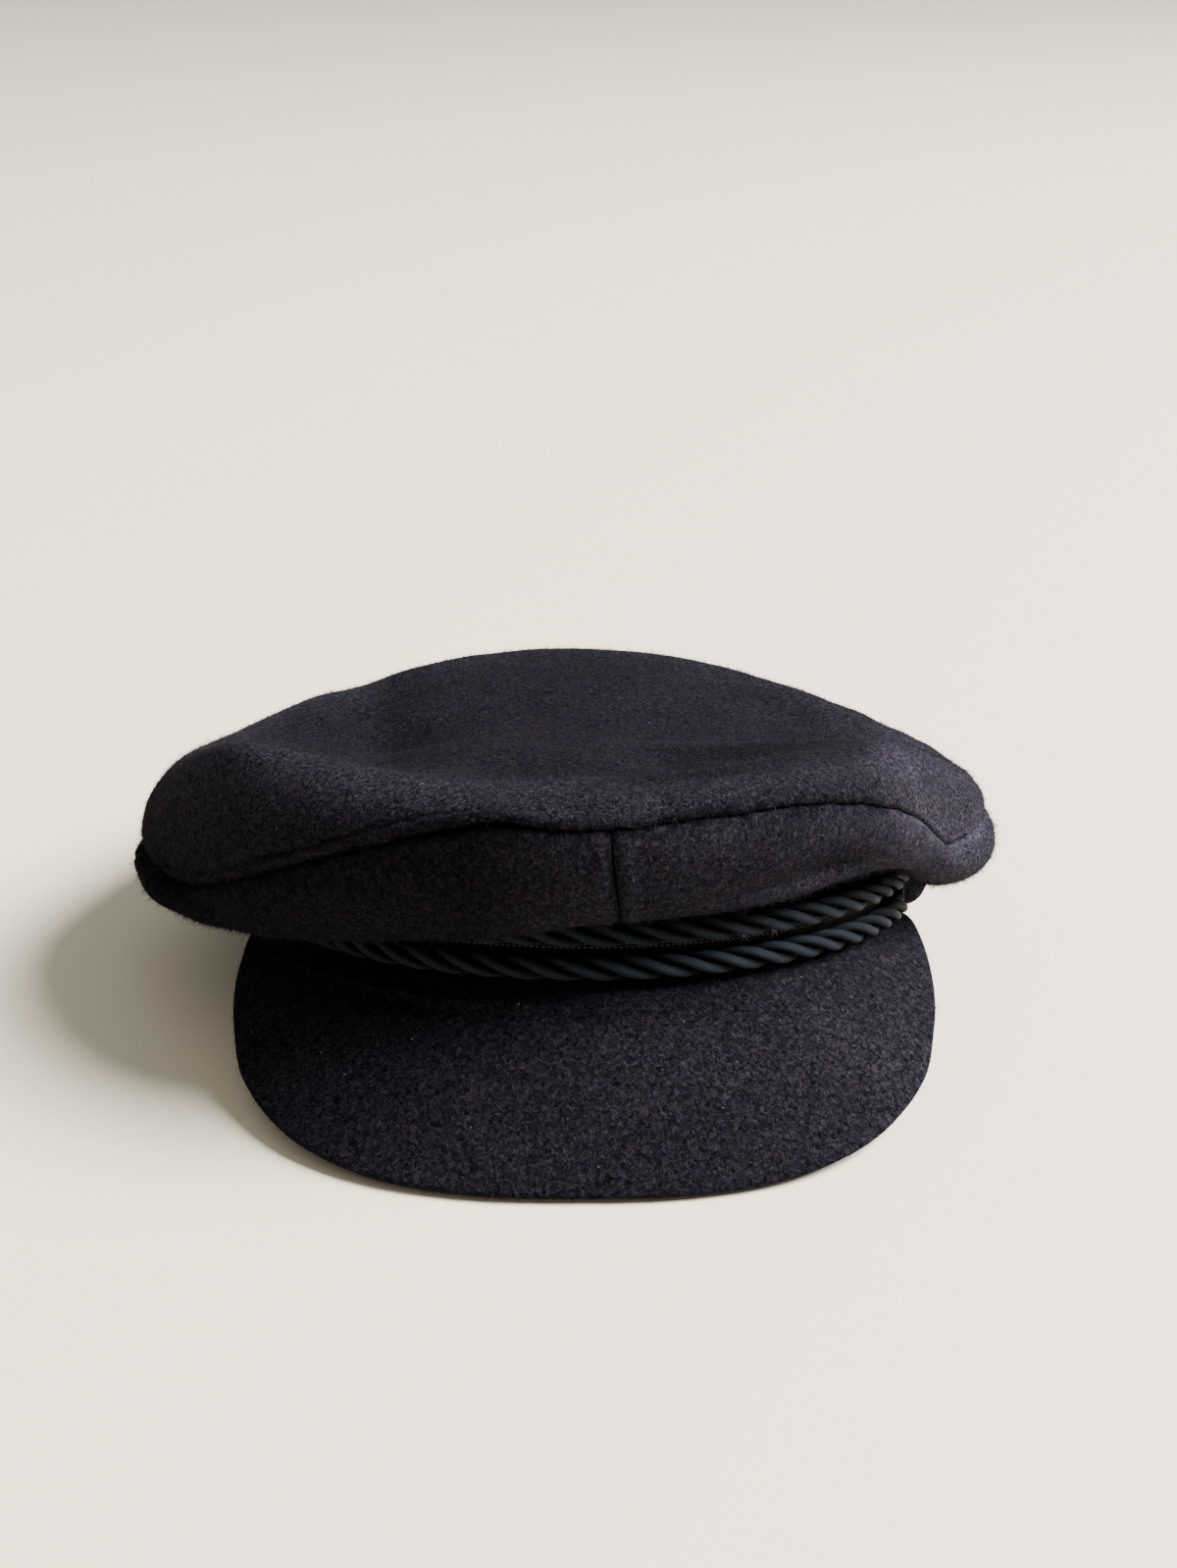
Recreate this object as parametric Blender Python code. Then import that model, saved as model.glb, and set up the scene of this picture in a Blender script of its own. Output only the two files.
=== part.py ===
"""A soft sailor cap of wool cloth, standing on a table with its peak in front.

The cap stands as it rests by itself: the back of the head band and the front edge
of the peak touch the table, and the front of the band is lifted between them. The
crown is a round top sewn to four side quarters, which are sewn to the band's top
edge, droop over the band and curl up to the top's seam. Two twisted cords and the
tape behind them cross the front of the band, from button to button.

Frame: metres, +Z up, -Y is the cap's front and +X its left as it is worn. The cap
is drawn about the middle of its head opening: an angle runs around it from 0 at the
front, with +X at 90 degrees, and a reach is a distance from the opening's upright
axis. The finished cap then moves so that the origin is its footprint's middle.
"""

import bmesh
import bpy
from math import atan2, ceil, cos, exp, hypot, pi, radians, sin
from mathutils import Vector

# Head band
BAND_HALF_WIDTH = 0.0945
BAND_HALF_LENGTH = 0.0985
BAND_HEIGHT = 0.036
BAND_WALL = 0.003
FRONT_LIFT = 0.042
LIFT_ANGLE = radians(150)

# Crown
CLOTH = 0.002
OVERHANG = 0.040
CROWN_RISE = 0.025
DROOP = 0.030
DISH_DEPTH = 0.0115
FOLD_ROUND = 0.0055
SEAM_ALLOWANCE = 0.004
SEAM_ANGLE = radians(4)
QUARTERS = 4

# Peak
PEAK_LENGTH = 0.0500
PEAK_SKEW_SHARE = 0.02
PEAK_WALL = 0.003
PEAK_CROWN_SHARE = 0.30
PEAK_ANGLE = radians(82)

# Cords, tape and buttons
CORD_RADIUS = 0.0034
CORD_GAP = 0.0035
CORD_LIFT = 0.0012
CORD_LAY = 0.0318
CORD_STRANDS = 3
CORD_VALLEY_SHARE = 0.70
TAPE_WALL = 0.0008
TAPE_MARGIN = 0.0010
BUTTON_ANGLE = radians(80)
BUTTON_RADIUS = 0.0075
BUTTON_STAND = 0.0045
BUTTON_SHANK = 0.0025
BUTTON_DOME = 0.0056
BUTTON_RIM = 0.0012

# Clearances
GAP = 0.0003
PEAK_GAP = 0.0003

# Mesh fineness
TURN_STEPS = 72
FOLD_STEPS = 5
CURL_STEPS = 5
ROLL_STEPS = 5
DISH_STEPS = 5
PEAK_STEPS = 32
CORD_STEP = 0.0030
BUTTON_STEPS = 16

# The crown's sections, one row for each angle around the cap, counted from the front.
# An "out" is a distance outside the band in shares of OVERHANG, an "up" is a height
# over the band's top edge in shares of CROWN_RISE, and fold_down is a depth below that
# edge in shares of DROOP. The seam joins the top to the side, the fold is the side's
# lowest line, the belly is how far the side swells past the seam, and the crest is
# the ring of the top's highest points, around its hollow.
CROWN_COLUMNS = ("angle", "seam_out", "seam_up", "fold_out", "fold_down",
                 "belly", "crest_out", "crest_up")
CROWN_SECTIONS = (
    (-180, 0.74, 0.48, 0.24, 0.23, 0.05, 0.34, 1.08),
    (-150, 0.81, 0.40, 0.31, 0.30, 0.05, 0.39, 1.02),
    (-135, 0.89, 0.18, 0.39, 0.49, 0.05, 0.44, 0.82),
    (-110, 1.03, -0.31, 0.55, 0.83, 0.07, 0.58, 0.47),
    (-90, 1.09, -0.58, 0.66, 1.08, 0.07, 0.54, 0.58),
    (-78, 0.96, -0.69, 0.66, 1.20, 0.10, 0.51, 0.74),
    (-69, 0.80, -0.74, 0.58, 1.11, 0.10, 0.43, 0.94),
    (-58, 0.74, -0.52, 0.46, 0.98, 0.05, 0.31, 1.00),
    (-46, 0.67, -0.15, 0.39, 0.88, 0.03, 0.22, 0.97),
    (-28, 0.59, 0.38, 0.29, 0.74, 0.03, 0.16, 0.91),
    (-12, 0.62, 0.79, 0.27, 0.60, 0.00, 0.14, 0.90),
    (0, 0.64, 0.74, 0.26, 0.45, 0.00, 0.09, 0.96),
    (15, 0.59, 0.81, 0.26, 0.40, 0.03, 0.04, 1.05),
    (30, 0.56, 0.82, 0.26, 0.35, 0.03, 0.01, 1.08),
    (41, 0.51, 0.66, 0.25, 0.27, 0.05, -0.07, 1.06),
    (52, 0.48, 0.38, 0.24, 0.26, 0.07, -0.02, 1.01),
    (60, 0.46, 0.08, 0.25, 0.36, 0.07, 0.04, 0.97),
    (67, 0.50, -0.25, 0.29, 0.62, 0.10, 0.07, 0.91),
    (83, 0.69, -0.25, 0.36, 0.86, 0.12, 0.16, 0.64),
    (100, 0.78, -0.24, 0.38, 0.72, 0.10, 0.28, 0.37),
    (120, 0.81, -0.02, 0.36, 0.52, 0.07, 0.39, 0.38),
    (150, 0.76, 0.38, 0.29, 0.27, 0.05, 0.36, 0.89),
)

# Dents and swellings of the crown's cloth, as smooth bumps: the angle, the place along
# the section (0 at the band, 1 at the seam, 2 at the top's middle), the spread of each
# and the height in shares of CLOTH, below zero for a dent.
DENT_COLUMNS = ("angle", "along", "angle_spread", "along_spread", "height")
DENTS = (
    (33, 0.72, 11, 0.09, -1.3),
    (58, 0.62, 8, 0.12, 0.8),
    (9, 1.12, 3.5, 0.05, -0.5),
    (17, 1.10, 6, 0.06, 0.5),
    (-30, 0.80, 14, 0.12, 0.7),
    (-62, 0.90, 7, 0.07, -0.8),
    (-112, 1.62, 17, 0.12, -1.2),
    (-55, 1.45, 16, 0.09, 0.6),
    (150, 0.75, 14, 0.12, -0.9),
    (-160, 0.78, 12, 0.14, 0.9),
)

# The peak's outline by sections from its middle to its end. edge_out is how far its
# edge stands outside the band in shares of PEAK_LENGTH, and edge_up is its edge's
# height in shares of the height of its root. PEAK_SKEW_SHARE takes the edge in on the +X
# side and lets it out on the other.
PEAK_COLUMNS = ("angle", "edge_out", "edge_up")
PEAK_SECTIONS = (
    (0, 1.00, 0.00),
    (12, 1.03, 0.00),
    (22, 1.05, 0.02),
    (31, 1.01, 0.07),
    (38, 0.92, 0.13),
    (45, 0.80, 0.22),
    (52, 0.64, 0.33),
    (60, 0.48, 0.48),
    (68, 0.335, 0.66),
    (74, 0.24, 0.82),
    (79, 0.16, 0.94),
    (82, 0.07, 0.98),
)

WOOL = (0.026, 0.024, 0.033)
CORD_BLACK = (0.010, 0.012, 0.012)
RIM_BLACK = (0.016, 0.016, 0.018)


# Curves and tables

def blend(x, xs, ys):
    """Smooth curve through four points, read at x between the middle two."""
    span = xs[2] - xs[1]
    t = (x - xs[1]) / span
    start = (ys[2] - ys[0]) / (xs[2] - xs[0]) * span
    end = (ys[3] - ys[1]) / (xs[3] - xs[1]) * span
    return ((2 * t ** 3 - 3 * t ** 2 + 1) * ys[1] + (t ** 3 - 2 * t ** 2 + t) * start
            + (3 * t ** 2 - 2 * t ** 3) * ys[2] + (t ** 3 - t ** 2) * end)


def around(name, angle):
    """A column of the crown's table, read all around the cap."""
    rows = CROWN_SECTIONS
    column = CROWN_COLUMNS.index(name)
    first = radians(rows[0][0])
    turned = (angle - first) % (2 * pi) + first
    place = max(i for i, row in enumerate(rows) if radians(row[0]) <= turned + 1e-9)
    xs, ys = [], []
    for i in range(place - 1, place + 3):
        row = rows[i % len(rows)]
        xs.append(radians(row[0]) + 2 * pi * (i // len(rows)))
        ys.append(row[column])
    return blend(turned, xs, ys)


def along_peak(name, angle):
    """A column of the peak's table, read on either side of its middle."""
    rows = PEAK_SECTIONS
    column = PEAK_COLUMNS.index(name)
    half = min(abs(angle), radians(rows[-1][0]))
    place = max(i for i, row in enumerate(rows[:-1]) if radians(row[0]) <= half + 1e-9)
    xs, ys = [], []
    for i in range(place - 1, place + 3):
        row = rows[min(abs(i), len(rows) - 1)]
        sign = -1 if i < 0 else 1
        xs.append(sign * radians(row[0]) + (radians(8) if i >= len(rows) else 0))
        ys.append(row[column])
    return blend(half, xs, ys)


def bezier(points, t):
    """A point of the cubic curve with these four (reach, height) handles."""
    weights = ((1 - t) ** 3, 3 * (1 - t) ** 2 * t, 3 * (1 - t) * t ** 2, t ** 3)
    return tuple(sum(w * p[axis] for w, p in zip(weights, points)) for axis in (0, 1))


def smooth(t):
    return t * t * (3 - 2 * t)


def mix(a, b, t):
    return a + (b - a) * t


def at(angle, reach, height):
    return Vector((reach * sin(angle), -reach * cos(angle), height))


# Head band

def band_reach(angle, outside=0.0):
    """Reach of the band's outer face, or of an ellipse that runs outside it."""
    across = BAND_HALF_WIDTH + outside
    along = BAND_HALF_LENGTH + outside
    return across * along / hypot(along * sin(angle), across * cos(angle))


def band_bottom(angle):
    """Height of the band's lower edge: flat at the back, lifted to the front."""
    lifted = (cos(angle) - cos(LIFT_ANGLE)) / (1 - cos(LIFT_ANGLE))
    return FRONT_LIFT * max(lifted, 0.0)


def band_top(angle):
    return band_bottom(angle) + BAND_HEIGHT


# Cords

CORD_OUTSIDE = GAP + TAPE_WALL + GAP + CORD_RADIUS
LOWER_CORD_UP = CORD_LIFT + CORD_RADIUS
UPPER_CORD_UP = LOWER_CORD_UP + 2 * CORD_RADIUS + CORD_GAP
BUTTON_UP = (LOWER_CORD_UP + UPPER_CORD_UP) / 2
CORD_ANGLE = BUTTON_ANGLE - (BUTTON_RADIUS + GAP) / BAND_HALF_WIDTH


def cord_middle(angle, up):
    """Reach and height of a cord's middle line."""
    return band_reach(angle, CORD_OUTSIDE), band_bottom(angle) + up


def clear_of_cords(angle, reach, height):
    """The same point of the crown's cloth, laid over the cords where it meets them."""
    if abs(angle) > BUTTON_ANGLE:
        return reach, height
    guard = CORD_RADIUS + 2 * GAP + CLOTH / 2
    for up in (LOWER_CORD_UP, UPPER_CORD_UP):
        middle, level = cord_middle(angle, up)
        away, over = reach - middle, height - level
        distance = hypot(away, over)
        if distance < guard:
            turn = atan2(over, away)
            reach, height = middle + guard * cos(turn), level + guard * sin(turn)
    return reach, height


# Crown sections, as the middle line of the cloth

def seam_place(angle):
    return (band_reach(angle) + around("seam_out", angle) * OVERHANG,
            band_top(angle) + around("seam_up", angle) * CROWN_RISE)


def half_seam(angle):
    """Half the height between the two cloths at the seam, more where it runs steeply."""
    beside = radians(1)
    one, other = (at(angle + turn, *seam_place(angle + turn)) for turn in (-beside, beside))
    across = hypot(other.x - one.x, other.y - one.y)
    return (CLOTH + GAP) / 2 * (other - one).length / across


def crest_place(angle):
    return (band_reach(angle) + around("crest_out", angle) * OVERHANG,
            band_top(angle) + around("crest_up", angle) * CROWN_RISE)


def side_line(angle):
    """The side's middle line: over the band's edge, down to the fold, up to the seam."""
    level = band_top(angle) + GAP + CLOTH / 2
    start = (band_reach(angle) + GAP + CLOTH / 2, level)
    seam_reach, seam_height = seam_place(angle)
    end = (seam_reach, seam_height - half_seam(angle))
    fold = (band_reach(angle) + around("fold_out", angle) * OVERHANG,
            band_top(angle) - around("fold_down", angle) * DROOP)
    run = fold[0] - start[0]
    inner = min(0.30 * run, FOLD_ROUND)
    hang = (start, (start[0] + 0.55 * run, start[1]), (fold[0] - inner, fold[1]), fold)
    belly = seam_reach + around("belly", angle) * OVERHANG
    climb = end[1] - fold[1]
    swell = (fold, (mix(fold[0], belly, 0.75), fold[1]),
             (belly + 0.9 * (belly - seam_reach) + CLOTH, end[1] - 0.30 * climb), end)
    line = [(band_reach(angle) - BAND_WALL / 2, level)]
    line += [bezier(hang, i / FOLD_STEPS) for i in range(FOLD_STEPS)]
    line += [bezier(swell, i / CURL_STEPS) for i in range(CURL_STEPS + 1)]
    line = [clear_of_cords(angle, *point) for point in line]
    line.append((end[0] - SEAM_ALLOWANCE, end[1]))
    return line


def crest_plane(angle, reach):
    """Height of the sloping plane through the front and the back of the crest."""
    front_reach, front_height = crest_place(0.0)
    back_reach, back_height = crest_place(pi)
    slope = (front_height - back_height) / (front_reach + back_reach)
    return back_height + slope * (back_reach + reach * cos(angle))


def top_line(angle):
    """The top's middle line: from the seam over its roll to the crest and the hollow."""
    seam_reach, seam_height = seam_place(angle)
    start = (seam_reach, seam_height + half_seam(angle))
    crest = crest_place(angle)
    inward = 0.42 * (start[0] - crest[0])
    slope = (crest_plane(angle, 1.0) - crest_plane(angle, 0.0)) * inward
    roll = (start, (start[0] + CLOTH, mix(start[1], crest[1], 0.42)),
            (crest[0] + inward, crest[1] + slope), crest)
    line = [(start[0] - SEAM_ALLOWANCE, start[1])]
    line += [bezier(roll, i / ROLL_STEPS) for i in range(ROLL_STEPS + 1)]
    over = crest[1] - crest_plane(angle, crest[0]) + DISH_DEPTH
    for i in range(1, DISH_STEPS):
        share = 1 - i / DISH_STEPS
        reach = crest[0] * share
        line.append((reach, crest_plane(angle, reach) - DISH_DEPTH + over * smooth(share)))
    return line


def dent_height(angle, along):
    """How far the cloth stands out of its section at this place."""
    total = 0.0
    for row in DENTS:
        dent = dict(zip(DENT_COLUMNS, row))
        turn = (angle - radians(dent["angle"]) + pi) % (2 * pi) - pi
        across = turn / radians(dent["angle_spread"])
        down = (along - dent["along"]) / dent["along_spread"]
        total += dent["height"] * CLOTH * exp(-across ** 2 - down ** 2)
    return total


def pushed_out(angle, line, alongs):
    """The line with the dents added across it."""
    result = []
    for i, (reach, height) in enumerate(line):
        before, after = line[max(i - 1, 0)], line[min(i + 1, len(line) - 1)]
        step = (after[0] - before[0], after[1] - before[1])
        size = hypot(*step)
        push = dent_height(angle, alongs[i])
        result.append((reach + push * step[1] / size, height - push * step[0] / size))
    return result


def side_alongs():
    count = FOLD_STEPS + CURL_STEPS
    return [0.0] + [i / count for i in range(count + 1)] + [1.0]


def top_alongs():
    roll = [1 + 0.3 * i / ROLL_STEPS for i in range(ROLL_STEPS + 1)]
    return [1.0] + roll + [1.3 + 0.7 * i / DISH_STEPS for i in range(1, DISH_STEPS)]


# Objects

def material(name, colour, roughness, sheen=0.0):
    made = bpy.data.materials.new(name)
    made.use_nodes = True
    shader = made.node_tree.nodes["Principled BSDF"]
    shader.inputs["Base Color"].default_value = (*colour, 1.0)
    shader.inputs["Roughness"].default_value = roughness
    shader.inputs["Metallic"].default_value = 0.0
    shader.inputs["Sheen Weight"].default_value = sheen
    made.diffuse_color = (*colour, 1.0)
    return made


def add_object(name, mesh_data, look):
    mesh = bpy.data.meshes.new(name)
    mesh_data.to_mesh(mesh)
    mesh_data.free()
    made = bpy.data.objects.new(name, mesh)
    bpy.context.scene.collection.objects.link(made)
    colour, roughness, sheen = look
    mesh.materials.append(material(name + "_look", colour, roughness, sheen))
    mesh.shade_smooth()
    mesh.set_sharp_from_angle(angle=radians(50))
    return made


def cloth_sheet(name, rows, closed, middle=None):
    """A cloth piece of even thickness on a grid of middle points, one row per angle."""
    sheet = bmesh.new()
    grid = [[sheet.verts.new(point) for point in row] for row in rows]
    pairs = list(zip(grid, grid[1:]))
    if closed:
        pairs.append((grid[-1], grid[0]))
    for one, other in pairs:
        for i in range(len(one) - 1):
            sheet.faces.new((one[i], other[i], other[i + 1], one[i + 1]))
    if middle is not None:
        centre = sheet.verts.new(middle)
        for one, other in pairs:
            sheet.faces.new((one[-1], other[-1], centre))
    made = add_object(name, sheet, (WOOL, 0.9, 0.4))
    wall = made.modifiers.new("cloth", "SOLIDIFY")
    wall.thickness = CLOTH
    wall.offset = 0.0
    wall.use_even_offset = True
    return made


def lofted(name, rings, look, closed=False):
    """A solid through rings of points, capped at both ends unless it closes on itself."""
    shape = bmesh.new()
    loops = [[shape.verts.new(point) for point in ring] for ring in rings]
    pairs = list(zip(loops, loops[1:]))
    if closed:
        pairs.append((loops[-1], loops[0]))
    for one, other in pairs:
        for i in range(len(one)):
            j = (i + 1) % len(one)
            shape.faces.new((one[i], other[i], other[j], one[j]))
    if not closed:
        shape.faces.new(loops[0])
        shape.faces.new(reversed(loops[-1]))
    bmesh.ops.recalc_face_normals(shape, faces=shape.faces)
    return add_object(name, shape, look)


def steps(start, end, count):
    return [start + (end - start) * i / count for i in range(count + 1)]


def build_crown_top():
    rows = []
    for i in range(TURN_STEPS):
        angle = SEAM_ANGLE + 2 * pi * i / TURN_STEPS
        line = pushed_out(angle, top_line(angle), top_alongs())
        rows.append([at(angle, *point) for point in line])
    middle = at(0.0, 0.0, crest_plane(0.0, 0.0) - DISH_DEPTH)
    cloth_sheet("crown_top", rows, closed=True, middle=middle)


def build_side_quarters():
    """Four side panels between the seams at the front, the sides and the back."""
    names = ("side_front_right", "side_back_right", "side_back_left", "side_front_left")
    width = 2 * pi / QUARTERS
    half_gap = GAP / 2 / BAND_HALF_WIDTH
    for number, name in enumerate(names):
        start = SEAM_ANGLE + number * width
        rows = []
        for angle in steps(start + half_gap, start + width - half_gap,
                           TURN_STEPS // QUARTERS):
            angle = (angle + pi) % (2 * pi) - pi
            line = pushed_out(angle, side_line(angle), side_alongs())
            rows.append([at(angle, *point) for point in line])
        cloth_sheet(name, rows, closed=False)


def build_band():
    rings = []
    for i in range(TURN_STEPS):
        angle = 2 * pi * i / TURN_STEPS
        outer = band_reach(angle)
        inner = band_reach(angle, -BAND_WALL)
        low, high = band_bottom(angle), band_top(angle)
        rings.append([at(angle, outer, low), at(angle, outer, high),
                      at(angle, inner, high), at(angle, inner, low)])
    lofted("band", rings, (WOOL, 0.9, 0.3), closed=True)


def peak_section(angle):
    """Outline of the peak's section: its top, its round edge and its underside."""
    root = band_bottom(angle) - PEAK_GAP - PEAK_WALL / 2
    length = along_peak("edge_out", angle) * (1 - PEAK_SKEW_SHARE * sin(angle)) * PEAK_LENGTH
    inner = (band_reach(angle, -BAND_WALL), root)
    lowest = PEAK_WALL / 2
    edge = (band_reach(angle) + length,
            lowest + max(along_peak("edge_up", angle), 0.0) * (root - lowest))
    drop = root - edge[1]
    handles = (inner, (band_reach(angle) + PEAK_CROWN_SHARE * length, root - 0.10 * drop),
               (edge[0] - 0.34 * length, edge[1] + 0.42 * drop), edge)
    middle = [bezier(handles, t) for t in (0, 0.07, 0.2, 0.36, 0.54, 0.74, 0.92)]
    half = PEAK_WALL / 2
    top, under = [], []
    for i, (reach, height) in enumerate(middle):
        before, after = middle[max(i - 1, 0)], (middle + [edge])[i + 1]
        step = (after[0] - before[0], after[1] - before[1])
        size = hypot(*step)
        across = (-step[1] / size * half, step[0] / size * half)
        top.append((reach + across[0], height + across[1]))
        under.append((reach - across[0], height - across[1]))
    forward = (step[0] / size * half, step[1] / size * half)
    tip = (edge[0] - forward[0], edge[1] - forward[1])
    nose = [(tip[0] + 0.75 * forward[0] + 0.7 * across[0],
             tip[1] + 0.75 * forward[1] + 0.7 * across[1]),
            (tip[0] + forward[0], tip[1] + forward[1]),
            (tip[0] + 0.75 * forward[0] - 0.7 * across[0],
             tip[1] + 0.75 * forward[1] - 0.7 * across[1])]
    return [(reach, max(height, 0.0)) for reach, height in top + nose + under[::-1]]


def build_peak():
    rings = []
    for angle in steps(-PEAK_ANGLE, PEAK_ANGLE, PEAK_STEPS):
        rings.append([at(angle, *point) for point in peak_section(angle)])
    lofted("peak", rings, (WOOL, 0.9, 0.4))


def build_cord(name, up):
    """A cord of twisted strands along the band, as a turning section with lobes."""
    length = (band_reach(0.0, CORD_OUTSIDE) + band_reach(pi / 2, CORD_OUTSIDE)) * CORD_ANGLE
    rings = []
    for angle in steps(-CORD_ANGLE, CORD_ANGLE, ceil(length / CORD_STEP)):
        reach, height = cord_middle(angle, up)
        twist = -pi * length * angle / CORD_ANGLE / CORD_LAY
        outward = at(angle, 1.0, 0.0)
        ring = []
        for corner in range(2 * CORD_STRANDS):
            turn = twist + pi * corner / CORD_STRANDS
            radius = CORD_RADIUS * (CORD_VALLEY_SHARE if corner % 2 else 1.0)
            ring.append(at(angle, reach, height) + outward * radius * cos(turn)
                        + Vector((0, 0, radius * sin(turn))))
        rings.append(ring)
    lofted(name, rings, (CORD_BLACK, 0.42, 0.0))


def build_tape():
    rings = []
    for angle in steps(-CORD_ANGLE, CORD_ANGLE, TURN_STEPS // 2):
        inner = band_reach(angle, GAP)
        outer = band_reach(angle, GAP + TAPE_WALL)
        low = band_bottom(angle) + LOWER_CORD_UP - TAPE_MARGIN
        high = band_bottom(angle) + UPPER_CORD_UP + TAPE_MARGIN
        rings.append([at(angle, inner, low), at(angle, outer, low),
                      at(angle, outer, high), at(angle, inner, high)])
    lofted("cord_tape", rings, (CORD_BLACK, 0.7, 0.1))


def build_button(name, angle):
    """A cloth covered dome on a thin rim, on a shank that stands off the band."""
    dome = BUTTON_DOME - BUTTON_RIM
    shoulder = 0.92 * BUTTON_RADIUS
    rim = BUTTON_STAND + BUTTON_RIM
    profile = [(0.0, BUTTON_SHANK), (BUTTON_STAND, BUTTON_SHANK),
               (BUTTON_STAND, BUTTON_RADIUS), (rim, BUTTON_RADIUS)]
    for i in range(5):
        turn = pi / 2 * i / 5
        profile.append((rim + dome * sin(turn), shoulder * cos(turn)))
    shape = bmesh.new()
    loops = []
    for out, radius in profile:
        loops.append([shape.verts.new((out, radius * cos(2 * pi * i / BUTTON_STEPS),
                                       radius * sin(2 * pi * i / BUTTON_STEPS)))
                      for i in range(BUTTON_STEPS)])
    for one, other in zip(loops, loops[1:]):
        for i in range(BUTTON_STEPS):
            j = (i + 1) % BUTTON_STEPS
            shape.faces.new((one[i], other[i], other[j], one[j]))
    shape.faces.new(loops[0])
    tip = shape.verts.new((BUTTON_STAND + BUTTON_DOME, 0.0, 0.0))
    for i in range(BUTTON_STEPS):
        shape.faces.new((loops[-1][i], tip, loops[-1][(i + 1) % BUTTON_STEPS]))
    bmesh.ops.recalc_face_normals(shape, faces=shape.faces)
    made = add_object(name, shape, (RIM_BLACK, 0.8, 0.3))
    made.location = at(angle, band_reach(angle) + GAP, band_bottom(angle) + BUTTON_UP)
    made.rotation_euler = (0.0, 0.0, angle - pi / 2)


def centre_on_table(pieces):
    """Parent the pieces to an empty that brings the footprint's middle to the origin."""
    view = bpy.context.evaluated_depsgraph_get()
    points = []
    for piece in pieces:
        seen = piece.evaluated_get(view)
        points += [seen.matrix_world @ vertex.co for vertex in seen.data.vertices]
    lows = [min(point[axis] for point in points) for axis in range(3)]
    highs = [max(point[axis] for point in points) for axis in range(3)]
    cap = bpy.data.objects.new("cap", None)
    bpy.context.scene.collection.objects.link(cap)
    cap.location = (-(lows[0] + highs[0]) / 2, -(lows[1] + highs[1]) / 2, -lows[2])
    for piece in pieces:
        piece.parent = cap


def build_cap():
    for old in list(bpy.data.objects):
        bpy.data.objects.remove(old, do_unlink=True)
    build_crown_top()
    build_side_quarters()
    build_band()
    build_peak()
    build_cord("cord_lower", LOWER_CORD_UP)
    build_cord("cord_upper", UPPER_CORD_UP)
    build_tape()
    build_button("button_left", -BUTTON_ANGLE)
    build_button("button_right", BUTTON_ANGLE)
    centre_on_table(list(bpy.data.objects))


build_cap()
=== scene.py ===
"""Looks of a soft wool sailor cap: fine cloth, nap, seams, cords and buttons.

Every piece is drawn from the same sections as the cap's solids, only finer, and stands
in place of its solid. Metres, +Z up, the peak towards -Y. Angles run around the cap's
head opening from 0 at the front, with +X at 90 degrees.
"""

from math import atan, atan2, cos, hypot, pi, radians, sin

import bpy
import numpy as np
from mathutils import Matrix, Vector, noise
from mathutils.bvhtree import BVHTree


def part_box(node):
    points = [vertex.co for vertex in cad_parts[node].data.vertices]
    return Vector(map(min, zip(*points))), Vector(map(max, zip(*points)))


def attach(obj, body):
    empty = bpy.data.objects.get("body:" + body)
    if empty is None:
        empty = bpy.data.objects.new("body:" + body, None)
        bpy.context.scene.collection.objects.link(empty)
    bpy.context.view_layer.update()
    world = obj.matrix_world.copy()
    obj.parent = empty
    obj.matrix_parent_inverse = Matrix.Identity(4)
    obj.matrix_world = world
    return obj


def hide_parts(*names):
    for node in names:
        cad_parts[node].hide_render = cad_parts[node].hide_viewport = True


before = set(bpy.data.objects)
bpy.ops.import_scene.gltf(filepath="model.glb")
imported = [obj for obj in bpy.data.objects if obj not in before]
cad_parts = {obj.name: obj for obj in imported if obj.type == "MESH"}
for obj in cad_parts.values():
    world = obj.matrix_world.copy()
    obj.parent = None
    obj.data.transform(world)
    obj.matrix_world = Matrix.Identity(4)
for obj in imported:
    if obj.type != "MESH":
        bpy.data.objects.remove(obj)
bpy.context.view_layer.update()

MM = 0.001

# The cap's sizes and sections, as its solids have them
BAND_HALF_WIDTH = 0.0945
BAND_HALF_LENGTH = 0.0985
BAND_HEIGHT = 0.036
BAND_WALL = 0.003
FRONT_LIFT = 0.042
LIFT_ANGLE = radians(150)
CLOTH = 0.002
OVERHANG = 0.040
CROWN_RISE = 0.025
DROOP = 0.030
DISH_DEPTH = 0.0115
FOLD_ROUND = 0.0055
SEAM_ALLOWANCE = 0.004
SEAM_ANGLE = radians(4)
PEAK_LENGTH = 0.0500
PEAK_SKEW_SHARE = 0.02
PEAK_WALL = 0.003
PEAK_CROWN_SHARE = 0.30
PEAK_ANGLE = radians(82)
CORD_RADIUS = 0.0034
CORD_GAP = 0.0035
CORD_LIFT = 0.0012
CORD_LAY = 0.0318
CORD_STRANDS = 3
TAPE_WALL = 0.0008
TAPE_MARGIN = 0.0010
BUTTON_ANGLE = radians(80)
BUTTON_RADIUS = 0.0075
BUTTON_STAND = 0.0045
BUTTON_SHANK = 0.0025
BUTTON_DOME = 0.0056
BUTTON_RIM = 0.0012
GAP = 0.0003
PEAK_GAP = 0.0003

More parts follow.
